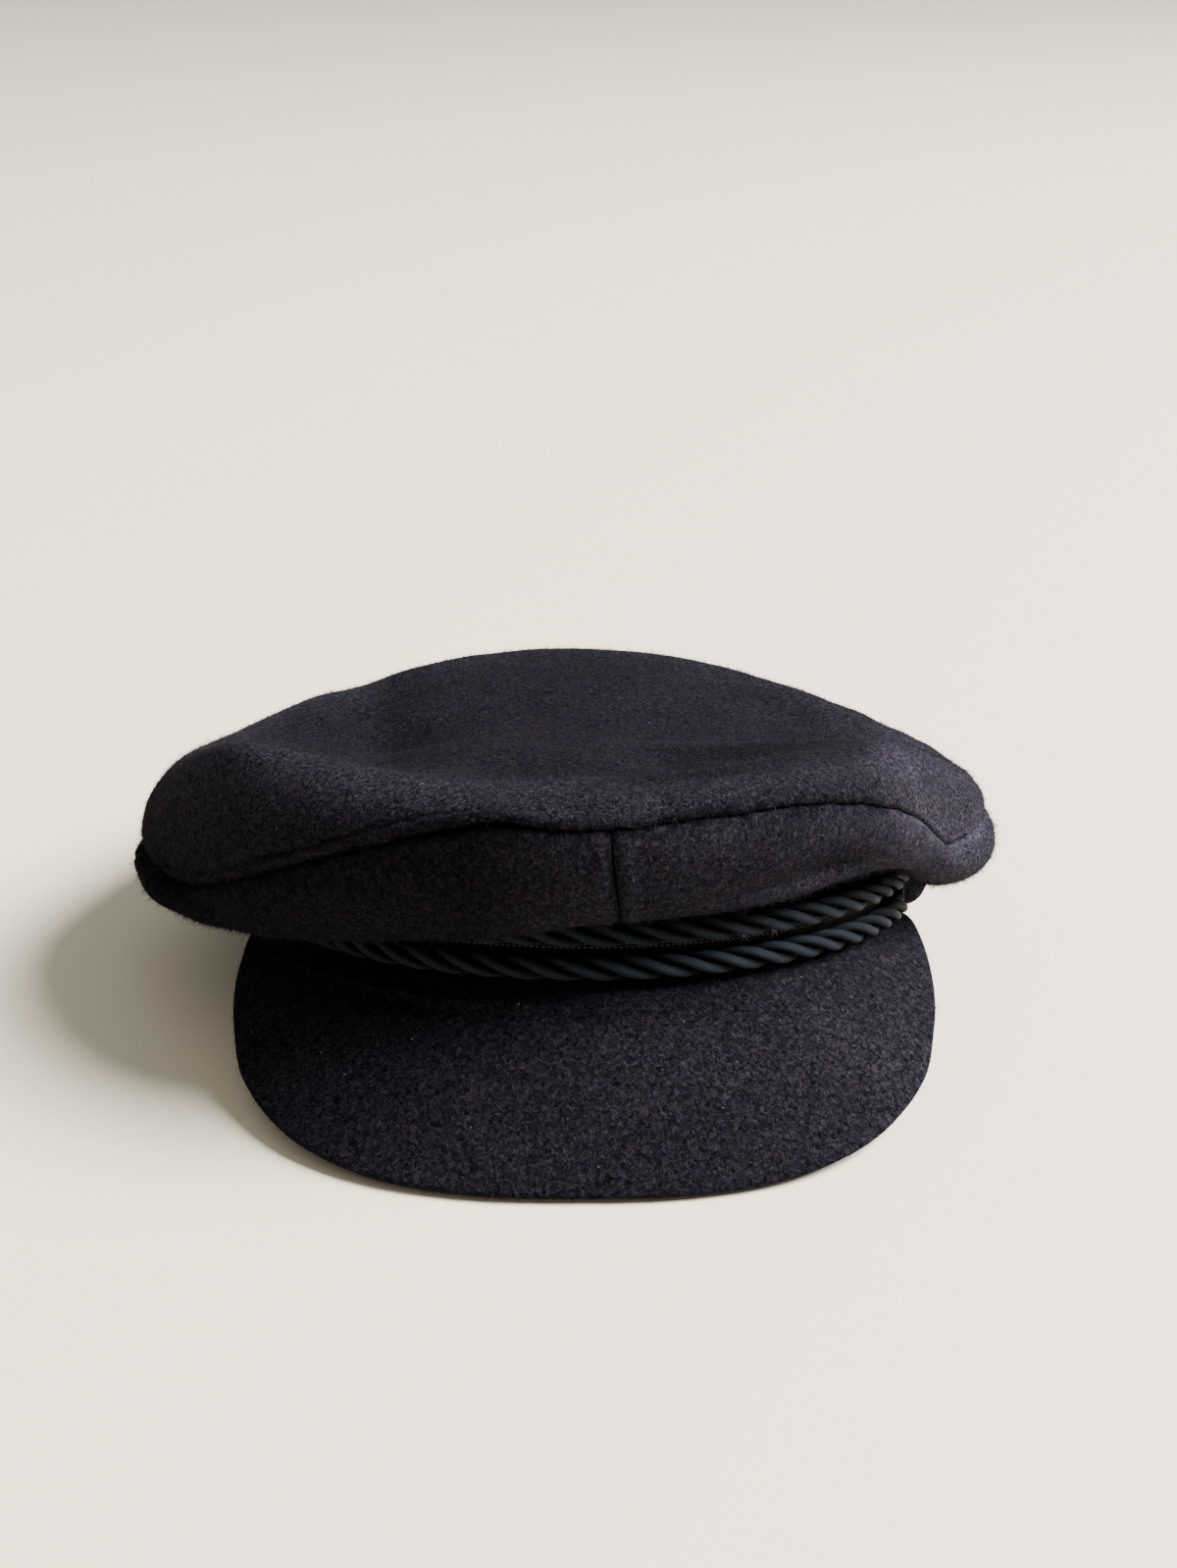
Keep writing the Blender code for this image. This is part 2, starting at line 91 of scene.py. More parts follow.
CROWN_COLUMNS = ("angle", "seam_out", "seam_up", "fold_out", "fold_down",
                 "belly", "crest_out", "crest_up")
CROWN_SECTIONS = (
    (-180, 0.74, 0.48, 0.24, 0.23, 0.05, 0.34, 1.08),
    (-150, 0.81, 0.40, 0.31, 0.30, 0.05, 0.39, 1.02),
    (-135, 0.89, 0.18, 0.39, 0.49, 0.05, 0.44, 0.82),
    (-110, 1.03, -0.31, 0.55, 0.83, 0.07, 0.58, 0.47),
    (-90, 1.09, -0.58, 0.66, 1.08, 0.07, 0.54, 0.58),
    (-78, 0.96, -0.69, 0.66, 1.20, 0.10, 0.51, 0.74),
    (-69, 0.80, -0.74, 0.58, 1.11, 0.10, 0.43, 0.94),
    (-58, 0.74, -0.52, 0.46, 0.98, 0.05, 0.31, 1.00),
    (-46, 0.67, -0.15, 0.39, 0.88, 0.03, 0.22, 0.97),
    (-28, 0.59, 0.38, 0.29, 0.74, 0.03, 0.16, 0.91),
    (-12, 0.62, 0.79, 0.27, 0.60, 0.00, 0.14, 0.90),
    (0, 0.64, 0.74, 0.26, 0.45, 0.00, 0.09, 0.96),
    (15, 0.59, 0.81, 0.26, 0.40, 0.03, 0.04, 1.05),
    (30, 0.56, 0.82, 0.26, 0.35, 0.03, 0.01, 1.08),
    (41, 0.51, 0.66, 0.25, 0.27, 0.05, -0.07, 1.06),
    (52, 0.48, 0.38, 0.24, 0.26, 0.07, -0.02, 1.01),
    (60, 0.46, 0.08, 0.25, 0.36, 0.07, 0.04, 0.97),
    (67, 0.50, -0.25, 0.29, 0.62, 0.10, 0.07, 0.91),
    (83, 0.69, -0.25, 0.36, 0.86, 0.12, 0.16, 0.64),
    (100, 0.78, -0.24, 0.38, 0.72, 0.10, 0.28, 0.37),
    (120, 0.81, -0.02, 0.36, 0.52, 0.07, 0.39, 0.38),
    (150, 0.76, 0.38, 0.29, 0.27, 0.05, 0.36, 0.89),
)
PEAK_COLUMNS = ("angle", "edge_out", "edge_up")
PEAK_SECTIONS = (
    (0, 1.00, 0.00),
    (12, 1.03, 0.00),
    (22, 1.05, 0.02),
    (31, 1.01, 0.07),
    (38, 0.92, 0.13),
    (45, 0.80, 0.22),
    (52, 0.64, 0.33),
    (60, 0.48, 0.48),
    (68, 0.335, 0.66),
    (74, 0.24, 0.82),
    (79, 0.16, 0.94),
    (82, 0.07, 0.98),
)

# Dents and swellings of the crown's cloth: the angle, the place along the section (0 at
# the band, 1 at the seam, 2 at the top's middle), the spread of each and the height.
DENTS = (
    (33, 0.72, 11, 0.09, -1.3 * CLOTH),
    (58, 0.62, 8, 0.12, 0.8 * CLOTH),
    (9, 1.12, 3.5, 0.05, -0.5 * CLOTH),
    (17, 1.10, 6, 0.06, 0.5 * CLOTH),
    (-30, 0.80, 14, 0.12, 0.7 * CLOTH),
    (-62, 0.90, 7, 0.07, -0.8 * CLOTH),
    (-112, 1.62, 17, 0.12, -1.2 * CLOTH),
    (-55, 1.45, 16, 0.09, 0.6 * CLOTH),
    (150, 0.75, 14, 0.12, -0.9 * CLOTH),
    (-160, 0.78, 12, 0.14, 0.9 * CLOTH),
)
# Smaller ones that only the fine cloth has.
SMALL_DENTS = (
    (9.5, 1.10, 2.2, 0.030, -0.9 * MM),
    (15.5, 1.07, 3.0, 0.035, 0.6 * MM),
    (24, 1.08, 4.0, 0.040, -0.4 * MM),
    (26, 0.67, 6.0, 0.035, -2.0 * MM),
    (36, 0.70, 5.0, 0.035, -2.0 * MM),
    (71, 1.06, 3.2, 0.020, -1.1 * MM),
    (76, 1.12, 3.0, 0.020, 0.8 * MM),
    (-75, 1.05, 3.5, 0.022, -1.0 * MM),
    (-84, 0.93, 4.0, 0.040, 0.8 * MM),
    (-95, 1.05, 4.0, 0.030, -0.9 * MM),
    (-80, 0.66, 15.0, 0.130, -3.6 * MM),
    (84, 0.88, 14.0, 0.120, -1.0 * MM),
    (80, 1.15, 14.0, 0.120, -1.2 * MM),
)

band_low, band_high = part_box("band")
MIDDLE = np.array(((band_low.x + band_high.x) / 2, (band_low.y + band_high.y) / 2, 0.0))
FINE = 1.0


# Curves and tables

def blend(x, xs, ys):
    """Smooth curve through four points, read at x between the middle two."""
    span = xs[2] - xs[1]
    t = (x - xs[1]) / span
    start = (ys[2] - ys[0]) / (xs[2] - xs[0]) * span
    end = (ys[3] - ys[1]) / (xs[3] - xs[1]) * span
    return ((2 * t ** 3 - 3 * t ** 2 + 1) * ys[1] + (t ** 3 - 2 * t ** 2 + t) * start
            + (3 * t ** 2 - 2 * t ** 3) * ys[2] + (t ** 3 - t ** 2) * end)


def around(name, angle):
    """A column of the crown's table, read all around the cap."""
    rows = CROWN_SECTIONS
    column = CROWN_COLUMNS.index(name)
    first = radians(rows[0][0])
    turned = (angle - first) % (2 * pi) + first
    place = max(i for i, row in enumerate(rows) if radians(row[0]) <= turned + 1e-9)
    xs, ys = [], []
    for i in range(place - 1, place + 3):
        row = rows[i % len(rows)]
        xs.append(radians(row[0]) + 2 * pi * (i // len(rows)))
        ys.append(row[column])
    return blend(turned, xs, ys)


def along_peak(name, angle):
    """A column of the peak's table, read on either side of its middle."""
    rows = PEAK_SECTIONS
    column = PEAK_COLUMNS.index(name)
    half = min(abs(angle), radians(rows[-1][0]))
    place = max(i for i, row in enumerate(rows[:-1]) if radians(row[0]) <= half + 1e-9)
    xs, ys = [], []
    for i in range(place - 1, place + 3):
        row = rows[min(abs(i), len(rows) - 1)]
        sign = -1 if i < 0 else 1
        xs.append(sign * radians(row[0]) + (radians(8) if i >= len(rows) else 0))
        ys.append(row[column])
    return blend(half, xs, ys)


def bezier(points, t):
    """Points of the cubic curve with these four (reach, height) handles."""
    t = np.asarray(t, float)[:, None]
    p = np.array(points, float)
    return ((1 - t) ** 3 * p[0] + 3 * (1 - t) ** 2 * t * p[1]
            + 3 * (1 - t) * t ** 2 * p[2] + t ** 3 * p[3])


def smooth(t):
    return t * t * (3 - 2 * t)


def mix(a, b, t):
    return a + (b - a) * t


def step_up(x, low, high):
    """0 below low, 1 above high, smooth between."""
    return smooth(np.clip((np.asarray(x, float) - low) / (high - low), 0.0, 1.0))


def bump(x, middle, spread):
    return np.exp(-((np.asarray(x, float) - middle) / spread) ** 2)


def place(angle, reach, height):
    """Points in the row frame from angles, reaches and heights."""
    angle, reach, height = np.broadcast_arrays(angle, reach, height)
    spot = np.stack((reach * np.sin(angle), -reach * np.cos(angle), height), axis=-1)
    return spot + MIDDLE


def turn_between(angle, other):
    """The signed turn from other to angle."""
    return (np.asarray(angle, float) - other + pi) % (2 * pi) - pi


def lumps(points, size, seed):
    """Smooth noise at each point, with lumps of about this size."""
    flat = points.reshape(-1, 3) / size + seed * 7.3
    values = np.fromiter((noise.noise(Vector(p)) for p in flat), float, len(flat))
    return values.reshape(points.shape[:-1])


# Places that the pieces share

def band_reach(angle, outside=0.0):
    across = BAND_HALF_WIDTH + outside
    along = BAND_HALF_LENGTH + outside
    return across * along / np.hypot(along * np.sin(angle), across * np.cos(angle))


def band_bottom(angle):
    lifted = (np.cos(angle) - cos(LIFT_ANGLE)) / (1 - cos(LIFT_ANGLE))
    return FRONT_LIFT * np.maximum(lifted, 0.0)


def band_top(angle):
    return band_bottom(angle) + BAND_HEIGHT


CORD_OUTSIDE = GAP + TAPE_WALL + GAP + CORD_RADIUS
LOWER_CORD_UP = CORD_LIFT + CORD_RADIUS
UPPER_CORD_UP = LOWER_CORD_UP + 2 * CORD_RADIUS + CORD_GAP
BUTTON_UP = (LOWER_CORD_UP + UPPER_CORD_UP) / 2
CORD_ANGLE = BUTTON_ANGLE - (BUTTON_RADIUS + GAP) / BAND_HALF_WIDTH
TUCKED = 0.0046 / BAND_HALF_WIDTH


def clear_of_cords(angle, line):
    """The section's points laid over the cords where they meet them."""
    if abs(angle) > BUTTON_ANGLE:
        return line
    guard = CORD_RADIUS + 2 * GAP + CLOTH / 2
    line = line.copy()
    for up in (LOWER_CORD_UP, UPPER_CORD_UP):
        middle = np.array((band_reach(angle, CORD_OUTSIDE), band_bottom(angle) + up))
        away = line - middle
        distance = np.hypot(away[:, 0], away[:, 1])
        near = distance < guard
        line[near] = middle + away[near] * (guard / distance[near])[:, None]
    return line


def seam_wander(angle):
    """How far the sewn line strays up or down, as stitched cloth does."""
    spot = Vector((cos(angle), sin(angle), 0.0))
    sag = 1.3 * MM * float(bump(angle, radians(-14), radians(8)))
    return 0.55 * MM * noise.noise(spot * 13) + 0.40 * MM * noise.noise(spot * 34) - sag


def seam_place(angle):
    return (float(band_reach(angle)) + around("seam_out", angle) * OVERHANG,
            float(band_top(angle)) + around("seam_up", angle) * CROWN_RISE
            + seam_wander(angle))


def half_seam(angle):
    beside = radians(1)
    spots = []
    for turn in (-beside, beside):
        reach, height = seam_place(angle + turn)
        spots.append((reach * sin(angle + turn), -reach * cos(angle + turn), height))
    one, other = spots
    across = hypot(other[0] - one[0], other[1] - one[1])
    whole = hypot(across, other[2] - one[2])
    return (CLOTH + GAP) / 2 * whole / across


def crest_place(angle):
    return (float(band_reach(angle)) + around("crest_out", angle) * OVERHANG,
            float(band_top(angle)) + around("crest_up", angle) * CROWN_RISE)


def crest_plane(angle, reach):
    front_reach, front_height = crest_place(0.0)
    back_reach, back_height = crest_place(pi)
    slope = (front_height - back_height) / (front_reach + back_reach)
    return back_height + slope * (back_reach + reach * cos(angle))


def side_section(angle):
    """The side's middle line, its place in the dents' table, and the seam's position."""
    level = float(band_top(angle)) + GAP + CLOTH / 2
    start = (float(band_reach(angle)) + GAP + CLOTH / 2, level)
    seam_reach, seam_height = seam_place(angle)
    end = (seam_reach, seam_height - half_seam(angle))
    fold = (float(band_reach(angle)) + around("fold_out", angle) * OVERHANG,
            float(band_top(angle)) - around("fold_down", angle) * DROOP)
    run = fold[0] - start[0]
    inner = min(0.30 * run, FOLD_ROUND)
    hang = (start, (start[0] + 0.55 * run, start[1]), (fold[0] - inner, fold[1]), fold)
    belly = seam_reach + around("belly", angle) * OVERHANG
    climb = end[1] - fold[1]
    swell = (fold, (mix(fold[0], belly, 0.75), fold[1]),
             (belly + 0.9 * (belly - seam_reach) + CLOTH, end[1] - 0.30 * climb), end)
    t = np.linspace(0, 1, 61)
    line = np.vstack(([(float(band_reach(angle)) - BAND_WALL / 2, level)],
                      bezier(hang, t[:-1]), bezier(swell, t)))
    line = clear_of_cords(angle, line)
    line = np.vstack((line, [(end[0] - SEAM_ALLOWANCE, end[1])]))
    alongs = np.concatenate(([0.0], 0.5 * t[:-1], 0.5 + 0.5 * t, [1.0]))
    return line, alongs, len(line) - 2


def top_section(angle):
    """The top's middle line, its place in the dents' table, and the seam's position."""
    seam_reach, seam_height = seam_place(angle)
    start = (seam_reach, seam_height + half_seam(angle))
    crest = crest_place(angle)
    inward = 0.42 * (start[0] - crest[0])
    slope = (crest_plane(angle, 1.0) - crest_plane(angle, 0.0)) * inward
    roll = (start, (start[0] + CLOTH, mix(start[1], crest[1], 0.42)),
            (crest[0] + inward, crest[1] + slope), crest)
    t = np.linspace(0, 1, 61)
    over = crest[1] - crest_plane(angle, crest[0]) + DISH_DEPTH
    share = np.linspace(1, 0, 101)[1:]
    dish = np.stack((crest[0] * share, crest_plane(angle, crest[0] * share)
                     - DISH_DEPTH + over * smooth(share)), axis=1)
    line = np.vstack(([(start[0] - SEAM_ALLOWANCE, start[1])], bezier(roll, t), dish))
    alongs = np.concatenate(([1.0], 1 + 0.3 * t, 2 - 0.7 * share))
    return line, alongs, 1


# Fine cloth

NEAR_SEAM = np.array((0, 0.3, 0.6, 0.9, 1.2, 1.5, 1.8, 2.1, 2.4, 2.7, 3.0, 3.4, 3.8,
                      4.3, 5.0, 6.0)) * MM
INTO_SEAM = np.array((-3.6, -2.4, -1.4, -0.8, -0.35)) * MM


def rounded(angle, line, alongs, corner):
    """The line sampled every quarter millimetre, its corner at the seam rounded."""
    steps = np.hypot(*np.diff(line, axis=0).T)
    ran = np.concatenate(([0.0], np.cumsum(steps)))
    ran -= ran[corner]
    count = int((ran[-1] - ran[0]) / (0.25 * MM)) + 1
    even = np.linspace(ran[0], ran[-1], count)
    fine = np.stack([np.interp(even, ran, line[:, axis]) for axis in (0, 1)], axis=1)
    values = np.interp(even, ran, alongs)
    turned = (angle + pi) % (2 * pi) - pi
    closed_up = step_up(turned, radians(20), radians(45))
    ear = right_ear(turned)
    wide = mix(mix(1.8, 0.7, closed_up), 0.3, ear) * MM
    weight = (0.5 * (1 - step_up(abs(even), wide, wide + 1.3 * MM)))[1:-1, None]
    for _ in range(int(mix(mix(14, 4, closed_up), 1, ear))):
        fine[1:-1] += weight * ((fine[:-2] + fine[2:]) / 2 - fine[1:-1])
    return fine, values, even


def stations(low, high, count, seam_first):
    """Distances from the seam at which a section is sampled, close together near it."""
    if seam_first:
        rest = 6 * MM + (high - 6 * MM) * np.linspace(0, 1, count + 1)[1:]
        return np.concatenate((INTO_SEAM, NEAR_SEAM, rest))
    rest = low + (-6 * MM - low) * np.linspace(0, 1, count + 1)[:-1]
    return np.concatenate((rest, -NEAR_SEAM[::-1], -INTO_SEAM[::-1]))


def cloth_grid(angles, section, count, seam_first):
    """Middle points, places along and distances to the seam, column by column."""
    points, alongs, distances = [], [], []
    for angle in angles:
        fine, values, even = rounded(angle, *section(angle))
        at = stations(even[0], even[-1], count, seam_first)
        reach = np.interp(at, even, fine[:, 0])
        height = np.interp(at, even, fine[:, 1])
        points.append(place(angle, reach, height))
        alongs.append(np.interp(at, even, values))
        distances.append(at)
    return np.array(points), np.array(alongs), np.array(distances)


def grid_normals(points, closed):
    """Outward normals of a grid whose columns go around and rows go along."""
    if closed:
        around_step = np.roll(points, -1, axis=0) - np.roll(points, 1, axis=0)
    else:
        around_step = np.gradient(points, axis=0)
    along_step = np.gradient(points, axis=1)
    normals = np.cross(around_step, along_step)
    size = np.linalg.norm(normals, axis=-1, keepdims=True)
    return normals / np.maximum(size, 1e-12)


def dents(table, angles, alongs):
    total = np.zeros_like(alongs)
    for at_angle, at_along, wide, long, height in table:
        turn = turn_between(angles, radians(at_angle))[:, None]
        total += height * np.exp(-(turn / radians(wide)) ** 2
                                 - ((alongs - at_along) / long) ** 2)
    return total


def make_object(name, vertices, faces, looks, face_looks=None, painted_light=None):
    """An object of this mesh; the last argument, from 1, makes its colour lighter or darker at each
    point: painted light and shade.
    """
    mesh = bpy.data.meshes.new(name)
    mesh.from_pydata(np.asarray(vertices).tolist(), [], faces)
    lightness = np.ones(len(mesh.vertices)) if painted_light is None else np.asarray(painted_light).ravel()
    mesh.attributes.new("painted_light", "FLOAT", "POINT").data.foreach_set(
        "value", lightness.astype(np.float32))
    for look in looks:
        mesh.materials.append(look)
    if face_looks is not None:
        mesh.polygons.foreach_set("material_index", np.asarray(face_looks, np.int32))
    mesh.shade_smooth()
    mesh.update()
    made = bpy.data.objects.new(name, mesh)
    bpy.context.scene.collection.objects.link(made)
    return made


def cloth_object(name, outer, inner, picks, closed, look, painted_light):
    """A cloth piece from its outer grid and an inner grid of fewer rows."""
    columns, rows = outer.shape[:2]
    kept = len(picks)
    first = columns * rows

    def out(i, j):
        return (i % columns) * rows + j

    def within(i, k):
        return first + (i % columns) * kept + k

    faces = []
    for i in range(columns if closed else columns - 1):
        for j in range(rows - 1):
            faces.append((out(i, j), out(i + 1, j), out(i + 1, j + 1), out(i, j + 1)))
        for k in range(kept - 1):
            faces.append((within(i, k), within(i, k + 1),
                          within(i + 1, k + 1), within(i + 1, k)))
        faces.append((out(i + 1, 0), out(i, 0), within(i, 0), within(i + 1, 0)))
        faces.append((out(i, rows - 1), out(i + 1, rows - 1),
                      within(i + 1, kept - 1), within(i, kept - 1)))
    if not closed:
        for i, flip in ((0, False), (columns - 1, True)):
            for k in range(kept - 1):
                ring = [out(i, j) for j in range(picks[k], picks[k + 1] + 1)]
                ring += [within(i, k + 1), within(i, k)]
                faces.append(tuple(reversed(ring)) if flip else tuple(ring))
    vertices = np.vstack((outer.reshape(-1, 3), inner.reshape(-1, 3)))
    # painted light and shade on the outer face, plain colour on the inner one
    lightness = np.concatenate((painted_light.ravel(), np.ones(columns * kept)))
    return make_object(name, vertices, faces, [look], painted_light=lightness)


surfaces = {}


def hollow_behind_crest(angles, middle):
    """How far the top sinks just behind its front crest, in a soft trough."""
    depth = np.zeros(middle.shape[:2])
    reach = np.hypot(middle[..., 0] - MIDDLE[0], middle[..., 1] - MIDDLE[1])
    for i, angle in enumerate(angles):
        inward = crest_place(angle)[0] - reach[i]
        depth[i] = 6.6 * MM * step_up(inward, 0.0, 26 * MM) \
            * (1 - step_up(inward, 48 * MM, 86 * MM))
    turned = turn_between(angles, 0.0)
    front = step_up(turned, radians(-104), radians(-58)) \
        * (1 - step_up(turned, radians(30), radians(72)))
    return depth * front[:, None]


def set_back(angles, alongs):
    """How far the top falls behind its ridge on the right, which lies nearer the seam."""
    turned = turn_between(angles, 0.0)[:, None]
    right = step_up(turned, radians(-6), radians(12)) * (1 - step_up(turned, radians(45), radians(64)))
    return 3.0 * MM * right * step_up(alongs, 1.14, 1.26) * (1 - step_up(alongs, 1.45, 1.80))


def valley(middle):
    """A shallow valley that crosses the top on the left, from the front to the back."""
    across = (middle[..., 0] + 0.057 + 0.11 * middle[..., 1]) / 0.013
    along = step_up(middle[..., 1], -0.075, -0.02) * (1 - step_up(middle[..., 1], 0.085, 0.13))
    return 3.2 * MM * np.exp(-across ** 2) * along


def build_top(look):
    columns = int(600 * FINE)
    angles = SEAM_ANGLE + 2 * pi * np.arange(columns) / columns
    middle, alongs, away = cloth_grid(angles, top_section, int(88 * FINE), True)
    middle[..., 2] -= hollow_behind_crest(angles, middle) + valley(middle)
    middle[..., 2] -= set_back(angles, alongs)
    normals = grid_normals(middle, closed=True)
    turned = turn_between(angles, 0.0)[:, None]
    loose = step_up(away, 3 * MM, 9 * MM)
    settle = 1 - step_up(alongs, 1.93, 1.99)
    out = dents(DENTS, angles, alongs) + dents(SMALL_DENTS, angles, alongs)
    out += loose * settle * (0.40 * MM * lumps(middle, 0.024, 1)
                             + 0.16 * MM * lumps(middle, 0.009, 2))
    # the puffed edge of the cloth above the seam, with a few short gathers
    puff = bump(away, 5.5 * MM, 3.2 * MM) * (1 - bump(turned, radians(-40), radians(28)))
    out += 0.50 * MM * puff * (0.6 + 1.4 * lumps(middle, 0.011, 3))
    out += gathers(turned, away, middle, 5)
    # the thin welt along the seam on the left, between two lines
    left = step_up(turned, radians(-80), radians(-70)) * \
        (1 - step_up(turned, radians(-20), radians(-4)))
    groove = left * bump(away, 3.4 * MM, 0.85 * MM) * (1 + 0.8 * lumps(middle, 0.006, 4))
    out += left * 0.45 * MM * bump(away, 1.6 * MM, 0.9 * MM) - 0.60 * MM * groove
    outer = middle + normals * (CLOTH / 2 + out)[..., None]
    rows = outer.shape[1]
    picks = list(range(0, rows - 1, 9)) + [rows - 1]
    inner = (middle + normals * (out - CLOTH / 2)[..., None])[:, picks]
    surfaces["top"] = (outer, True)
    # Painted light and shade in the top's colour: a painted highlight along the front ridge, strongest on
    # the left, painted shade just behind the ridge on the right and in the welt's groove, a lighter
    # painted band on the puffed edge above the seam, and the seam's painted shade and light.
    left_half = np.maximum(-np.sin(turned), 0)
    at_right = step_up(turned, radians(-4), radians(10)) * (1 - step_up(turned, radians(48), radians(66)))
    ridge = mix(1.25 - 0.05 * left_half, 1.165, at_right)
    painted_light = 0.88 + bump(alongs, ridge, mix(0.11, 0.07, at_right)) * (0.45 + 0.95 * left_half)
    painted_light = painted_light - 0.16 * at_right * bump(alongs, 1.31, 0.08)
    painted_light = painted_light * (1 - 0.45 * groove) + 0.12 * bump(away, 4 * MM, 3 * MM)
    painted_light = painted_light * seam_shade(middle, away, turned)
    return cloth_object("top_cloth", outer, inner, picks, True, look, painted_light)


def right_ear(turned):
    """Where the crown droops on the right, 1 in its middle and 0 beyond it."""
    return step_up(turned, radians(40), radians(58)) * (1 - step_up(turned, radians(105), radians(130)))


def seam_shade(middle, away, turned):
    """Painted shade beside the top's seam, in an uneven soft line, with painted light on the right."""
    line = bump(away, 0.0, 1.3 * MM)
    uneven = np.clip(0.28 + 0.9 * lumps(middle, 0.0035, 6), 0, 0.8)
    # on the right the seam's painted shade is left out, and the cloth is painted lighter over the seam's
    # crease and the drooping ear: painted light
    ear = right_ear(turned)
    patch_tone = 1.0 * ear * (1 - step_up(abs(away), 12 * MM, 42 * MM))
    return (1 - uneven * (1 - ear) * line) * (1 + 0.9 * ear * bump(away, 0.0, 2.2 * MM)) \
        * (1 + patch_tone)


def gathers(turned, away, middle, seed):
    """Short ribs across the seam at the right front, where the cloth was eased in."""
    waves = np.sin(turned * 0.128 / 0.00027 + 2.5 * lumps(middle, 0.007, seed))
    return 0.11 * MM * waves * bump(abs(away), 3.6 * MM, 3.2 * MM) \
        * bump(turned, radians(24), radians(20))


def quarter_shares(width):
    """Shares of a quarter's width, close together near its two seams."""
    near = np.array((0, 0.25, 0.5, 0.8, 1.2, 1.7, 2.4, 3.2, 4.2, 5.4, 7.0)) * MM / width
    count = int(124 * FINE)
    rest = np.linspace(near[-1], 1 - near[-1], count + 1)[1:-1]
    return np.concatenate((near, rest, 1 - near[::-1]))


def build_side(name, number, look):
    reach = 0.120
    width = pi / 2 * reach
    half_gap = GAP / 2 / BAND_HALF_WIDTH
    start = SEAM_ANGLE + number * pi / 2 + half_gap
    shares = quarter_shares(width)
    angles = (start + shares * (pi / 2 - 2 * half_gap) + pi) % (2 * pi) - pi
    middle, alongs, away = cloth_grid(angles, side_section, int(56 * FINE), False)
    normals = grid_normals(middle, closed=False)
    turned = angles[:, None]
    edge = np.minimum(shares, 1 - shares)[:, None] * width
    loose = step_up(-away, 3 * MM, 8 * MM) * step_up(alongs, 0.30, 0.5) \
        * step_up(edge, 1 * MM, 6 * MM)
    out = dents(DENTS, angles, alongs) + dents(SMALL_DENTS, angles, alongs)
    out += loose * (0.30 * MM * lumps(middle, 0.021, 11) + 0.12 * MM * lumps(middle, 0.008, 12))
    out += gathers(turned, away, middle, 13) * step_up(edge, 0.5 * MM, 2 * MM)
    # the cloth turns in at the seams between the quarters, with a soft roll beside them
    outside = step_up(alongs, 0.16, 0.4)
    out += outside * (0.32 * MM * bump(edge, 3.6 * MM, 2.0 * MM)
                      - 0.75 * MM * np.exp(-(edge / (1.1 * MM)) ** 1.5))
    if number == 3:
        ridge = (1 - shares)[:, None] * width
        out += outside * 0.30 * MM * bump(ridge, 2.6 * MM, 1.3 * MM)
    outer = middle + normals * (CLOTH / 2 + out)[..., None]
    rows = outer.shape[1]
    picks = list(range(0, rows - 1, 5)) + [rows - 1]
    inner = (middle + normals * (out - CLOTH / 2)[..., None])[:, picks]
    # the front seam leans: its top towards the left, its bottom towards the right
    lean = radians(0.85) * step_up(alongs, 0.2, 0.45) - radians(1.75) * step_up(alongs, 0.5, 1.0)
    if number == 0:
        lean = lean * (1 - step_up(shares, 0.0, 0.25))[:, None]
    elif number == 3:
        lean = lean * step_up(shares, 0.75, 1.0)[:, None]
    else:
        lean = lean * 0.0
    outer, inner = turned_by(outer, lean), turned_by(inner, lean[:, picks])
    surfaces[name] = (outer, False)
    # Painted light and shade in the side's colour: painted highlights on the swell above the fold and on
    # the rolls beside the quarter seams, painted shade in the quarter seams, and the seam's painted shade
    # and light.
    painted_light = 0.95 + 0.30 * bump(alongs, 0.62, 0.12) + 0.22 * bump(edge, 4 * MM, 2 * MM)
    painted_light = painted_light * seam_shade(middle, away, turned) * (1 - 0.45 * bump(edge, 0.0, 1.3 * MM))
    # painted shade: the left front, which lies in its own shadow, is painted darker
    painted_light = painted_light * (1 - 0.46 * step_up(-turned, radians(-2), radians(16))
                       * step_up(turned, radians(-120), radians(-80)))
    return cloth_object(name + "_cloth", outer, inner, picks, False, look, painted_light)


def turned_by(points, turn):
    """The points turned about the head opening's upright axis."""
    flat = points - MIDDLE
    c, s = np.cos(turn), np.sin(turn)
    return np.stack((flat[..., 0] * c - flat[..., 1] * s,
                     flat[..., 0] * s + flat[..., 1] * c, flat[..., 2]), axis=-1) + MIDDLE


def ring_object(name, rings, closed, looks, painted_light=None):
    """A body through rings of points, capped at both ends unless it closes on itself."""
    columns, rows = rings.shape[:2]
    faces = []
    for i in range(columns if closed else columns - 1):
        n = (i + 1) % columns
        for j in range(rows):
            m = (j + 1) % rows
            faces.append((i * rows + j, n * rows + j, n * rows + m, i * rows + m))
    if not closed:
        faces.append(tuple(range(rows)))
        faces.append(tuple(reversed(range((columns - 1) * rows, columns * rows))))
    return make_object(name, rings.reshape(-1, 3), faces, looks, painted_light=painted_light)


